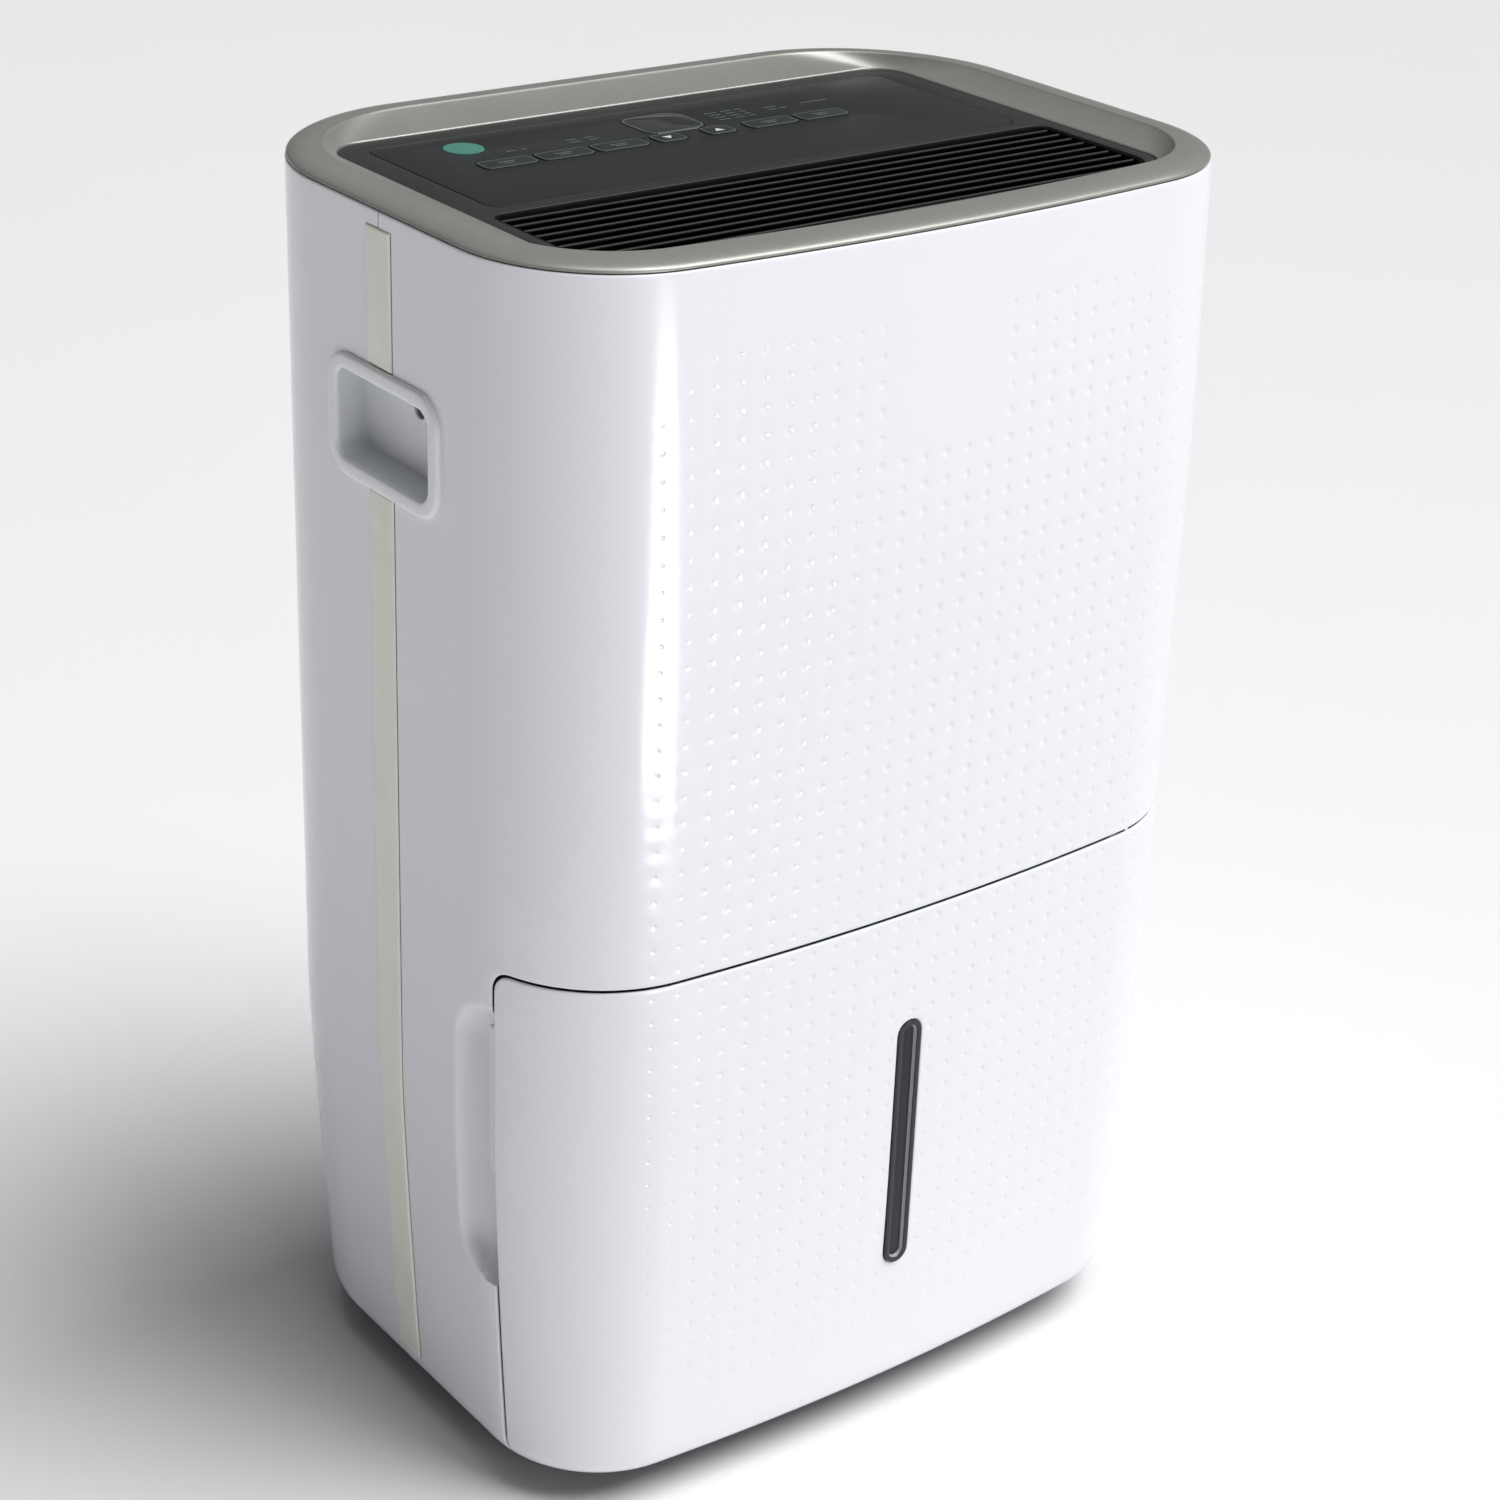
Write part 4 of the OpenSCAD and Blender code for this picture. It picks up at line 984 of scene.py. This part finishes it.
def make_window():
    zc, half = WINDOW_Z, WINDOW_HALF
    # The third number picks the material: 0 the rim, 1 the chamfer painted as a highlight line, 2 the lens.
    steps = [(6.9, 6, 0), (6.9, -0.1, 0), (6.75, -0.38, 0), (6.4, -0.5, 0), (5.0, -0.46, 0),
             (4.5, -0.32, 0), (4.25, 0.1, 0), (3.95, 1.2, 1), (3.7, 1.7, 1), (3.3, 1.9, 2), (1.6, 1.85, 2),
             (0.4, 1.83, 2)]
    heap = Heap()
    loops = []
    for r, d, _ in steps:
        loops.append([(x, -HALF_D + d, zc + z) for x, z in stadium(half, r)])
    for a, b, (_, _, mark) in zip(loops, loops[1:], steps[1:]):
        heap.loops([a, b], mark=mark)
    heap.loops([loops[-1]], mark=2, cap_last=True)
    heap.loops([loops[0]], mark=0, cap_first=True)
    piece("window_lens", heap.verts, heap.faces, [LENS_RIM, LENS_HIGHLIGHT, LENS], "bucket",
          ["bucket_window"], marks=heap.marks)


def make_bucket_lips():
    """The inner lip that shows in each finger scoop, behind the edge of the bucket front."""
    heap = Heap()
    for side in (-1, 1):
        loops = []
        for z in (178, 178.15, 178.6, 179.5, 200, 222, 246, 250, 252.6, 254.4, 255):
            low, high = min(z - 178, 1), min(255 - z, 3)
            shy = 1 - math.sqrt(1 - (1 - low) ** 2) + 3 - math.sqrt(9 - (3 - high) ** 2)
            shape = rounded_loop(4.4 - 0.4 * shy, 7.4 - shy, 1.0, 4)
            loops.append([(side * (188.2 + a), -80.7 + b, z) for a, b in shape])
        heap.loops(loops if side > 0 else [loop[::-1] for loop in loops], cap_first=True, cap_last=True)
    piece("bucket_lips", heap.verts, heap.faces, SHELL, "bucket", angle=50)


def soften(node, width, mat, body):
    """A CAD solid with its hard edges rounded over."""
    me = nodes[node].data.copy()
    bm = bmesh.new()
    bm.from_mesh(me)
    bmesh.ops.remove_doubles(bm, verts=bm.verts, dist=2e-6)
    bmesh.ops.dissolve_limit(bm, angle_limit=math.radians(1), verts=bm.verts, edges=bm.edges)
    bm.to_mesh(me)
    bm.free()
    obj = bpy.data.objects.new(f"{node}_soft", me)
    scene.collection.objects.link(obj)
    edge = obj.modifiers.new("edge", "BEVEL")
    edge.width = width * MM
    edge.segments = 2
    edge.limit_method = "ANGLE"
    edge.angle_limit = math.radians(40)
    edge.use_clamp_overlap = True
    settle(obj)
    finish_mesh(obj.data, 35)
    return put(obj, mat, body, [node])


make_front_cabinet()
make_bucket_front()
make_rear_cabinet()
make_strips()
make_top_ring()
make_top()
make_louvres()
make_grips()
make_window()
make_bucket_lips()

soften("filter_grille", 0.5, SHELL, "filter")
soften("drain_port", 0.4, SHELL, "cabinet")
soften("drain_cap", 0.4, CUP, "hose_cap")
soften("cord_inlet", 0.5, RUBBER, "cabinet")
soften("bucket_tub", 0.5, TUB, "bucket")
soften("bucket_lid", 0.4, TUB, "bucket")
soften("bucket_handle", 0.8, BAIL, "bucket_bail")
soften("bucket_float", 0.8, FOAM, "float")
for k in range(1, 5):
    soften(f"caster_wheel_{k}", 1.2, WHEEL, f"roller_{k}")
    soften(f"caster_fork_{k}", 0.4, STEEL, f"swivel_{k}")

# ---- the solids that keep their shape ----

KEPT = {
    "base_pan": BASE,
    "control_board": BOARD,
    "bay_partition": INNER,
    "drip_tray": INNER,
    "evaporator": FINS,
    "condenser": DARK_FINS,
    "compressor": PAINTED,
    "compressor_mounts": RUBBER,
    "refrigerant_pipes": COPPER,
    "scroll_housing": INNER_DARK,
    "fan_wheel": INNER_DARK,
    "fan_motor": STEEL,
    "electric_box": ZINC,
    "level_switch": CUP,
    "rear_screws": STEEL,
    "filter_net": NET,
    "bucket_ribs": SHELL,
}
for name, mat in KEPT.items():
    obj = nodes[name]
    metal = COPPER if name in ("evaporator", "condenser") else None
    for i, held in enumerate(obj.material_slots):
        tube = metal and held.material and "copper" in held.material.name
        obj.material_slots[i].material = metal if tube else mat

# ---- floor and light ----

floor_mesh = bpy.data.meshes.new("studio_floor")
floor_mesh.from_pydata([(-90, -90, 0), (90, -90, 0), (90, 90, 0), (-90, 90, 0)], [], [[0, 1, 2, 3]])
floor = bpy.data.objects.new("studio_floor", floor_mesh)
scene.collection.objects.link(floor)
floor_mesh.materials.append(material("floor_paper", srgb(243, 243, 244), 0.7, vary=0.004, cloud=3,
                                     grain=300, bump=0.02))

world = bpy.data.worlds.new("studio")
scene.world = world
world.use_nodes = True
world.node_tree.nodes["Background"].inputs["Color"].default_value = (0.95, 0.97, 1.0, 1)
world.node_tree.nodes["Background"].inputs["Strength"].default_value = 0.08


def aimed(name, data, at, aim):
    lamp = bpy.data.objects.new(name, data)
    scene.collection.objects.link(lamp)
    lamp.location = at
    lamp.rotation_euler = (Vector(aim) - Vector(at)).to_track_quat("-Z", "Y").to_euler()
    lamp.visible_camera = False
    return lamp


def softbox(name, at, aim, size, power):
    data = bpy.data.lights.new(name, "AREA")
    data.shape = "RECTANGLE"
    data.size, data.size_y = size
    data.energy = power
    return aimed(name, data, at, aim)


overhead = bpy.data.lights.new("overhead", "SUN")
overhead.energy = 3.1
overhead.angle = math.radians(45)
aimed("overhead", overhead, (1.6, -1.35, 3.4), (0, 0, 0))
softbox("front_fill", (-0.25, -2.7, 0.9), (0, 0, 0.3), (0.8, 1.4), 11)
softbox("streak", (-0.06, -0.95, 0.01), (-0.09, -0.78, 1), (0.34, 1.7), 34).visible_diffuse = False
softbox("top_glow", (-0.1, -0.2, 2.7), (0, 0, 0), (1.3, 1.1), 9)
softbox("back_glow", (2.2, 2.6, 1.9), (0, 0, 0.6), (3.2, 1.0), 1)

scene.view_settings.view_transform = "Standard"
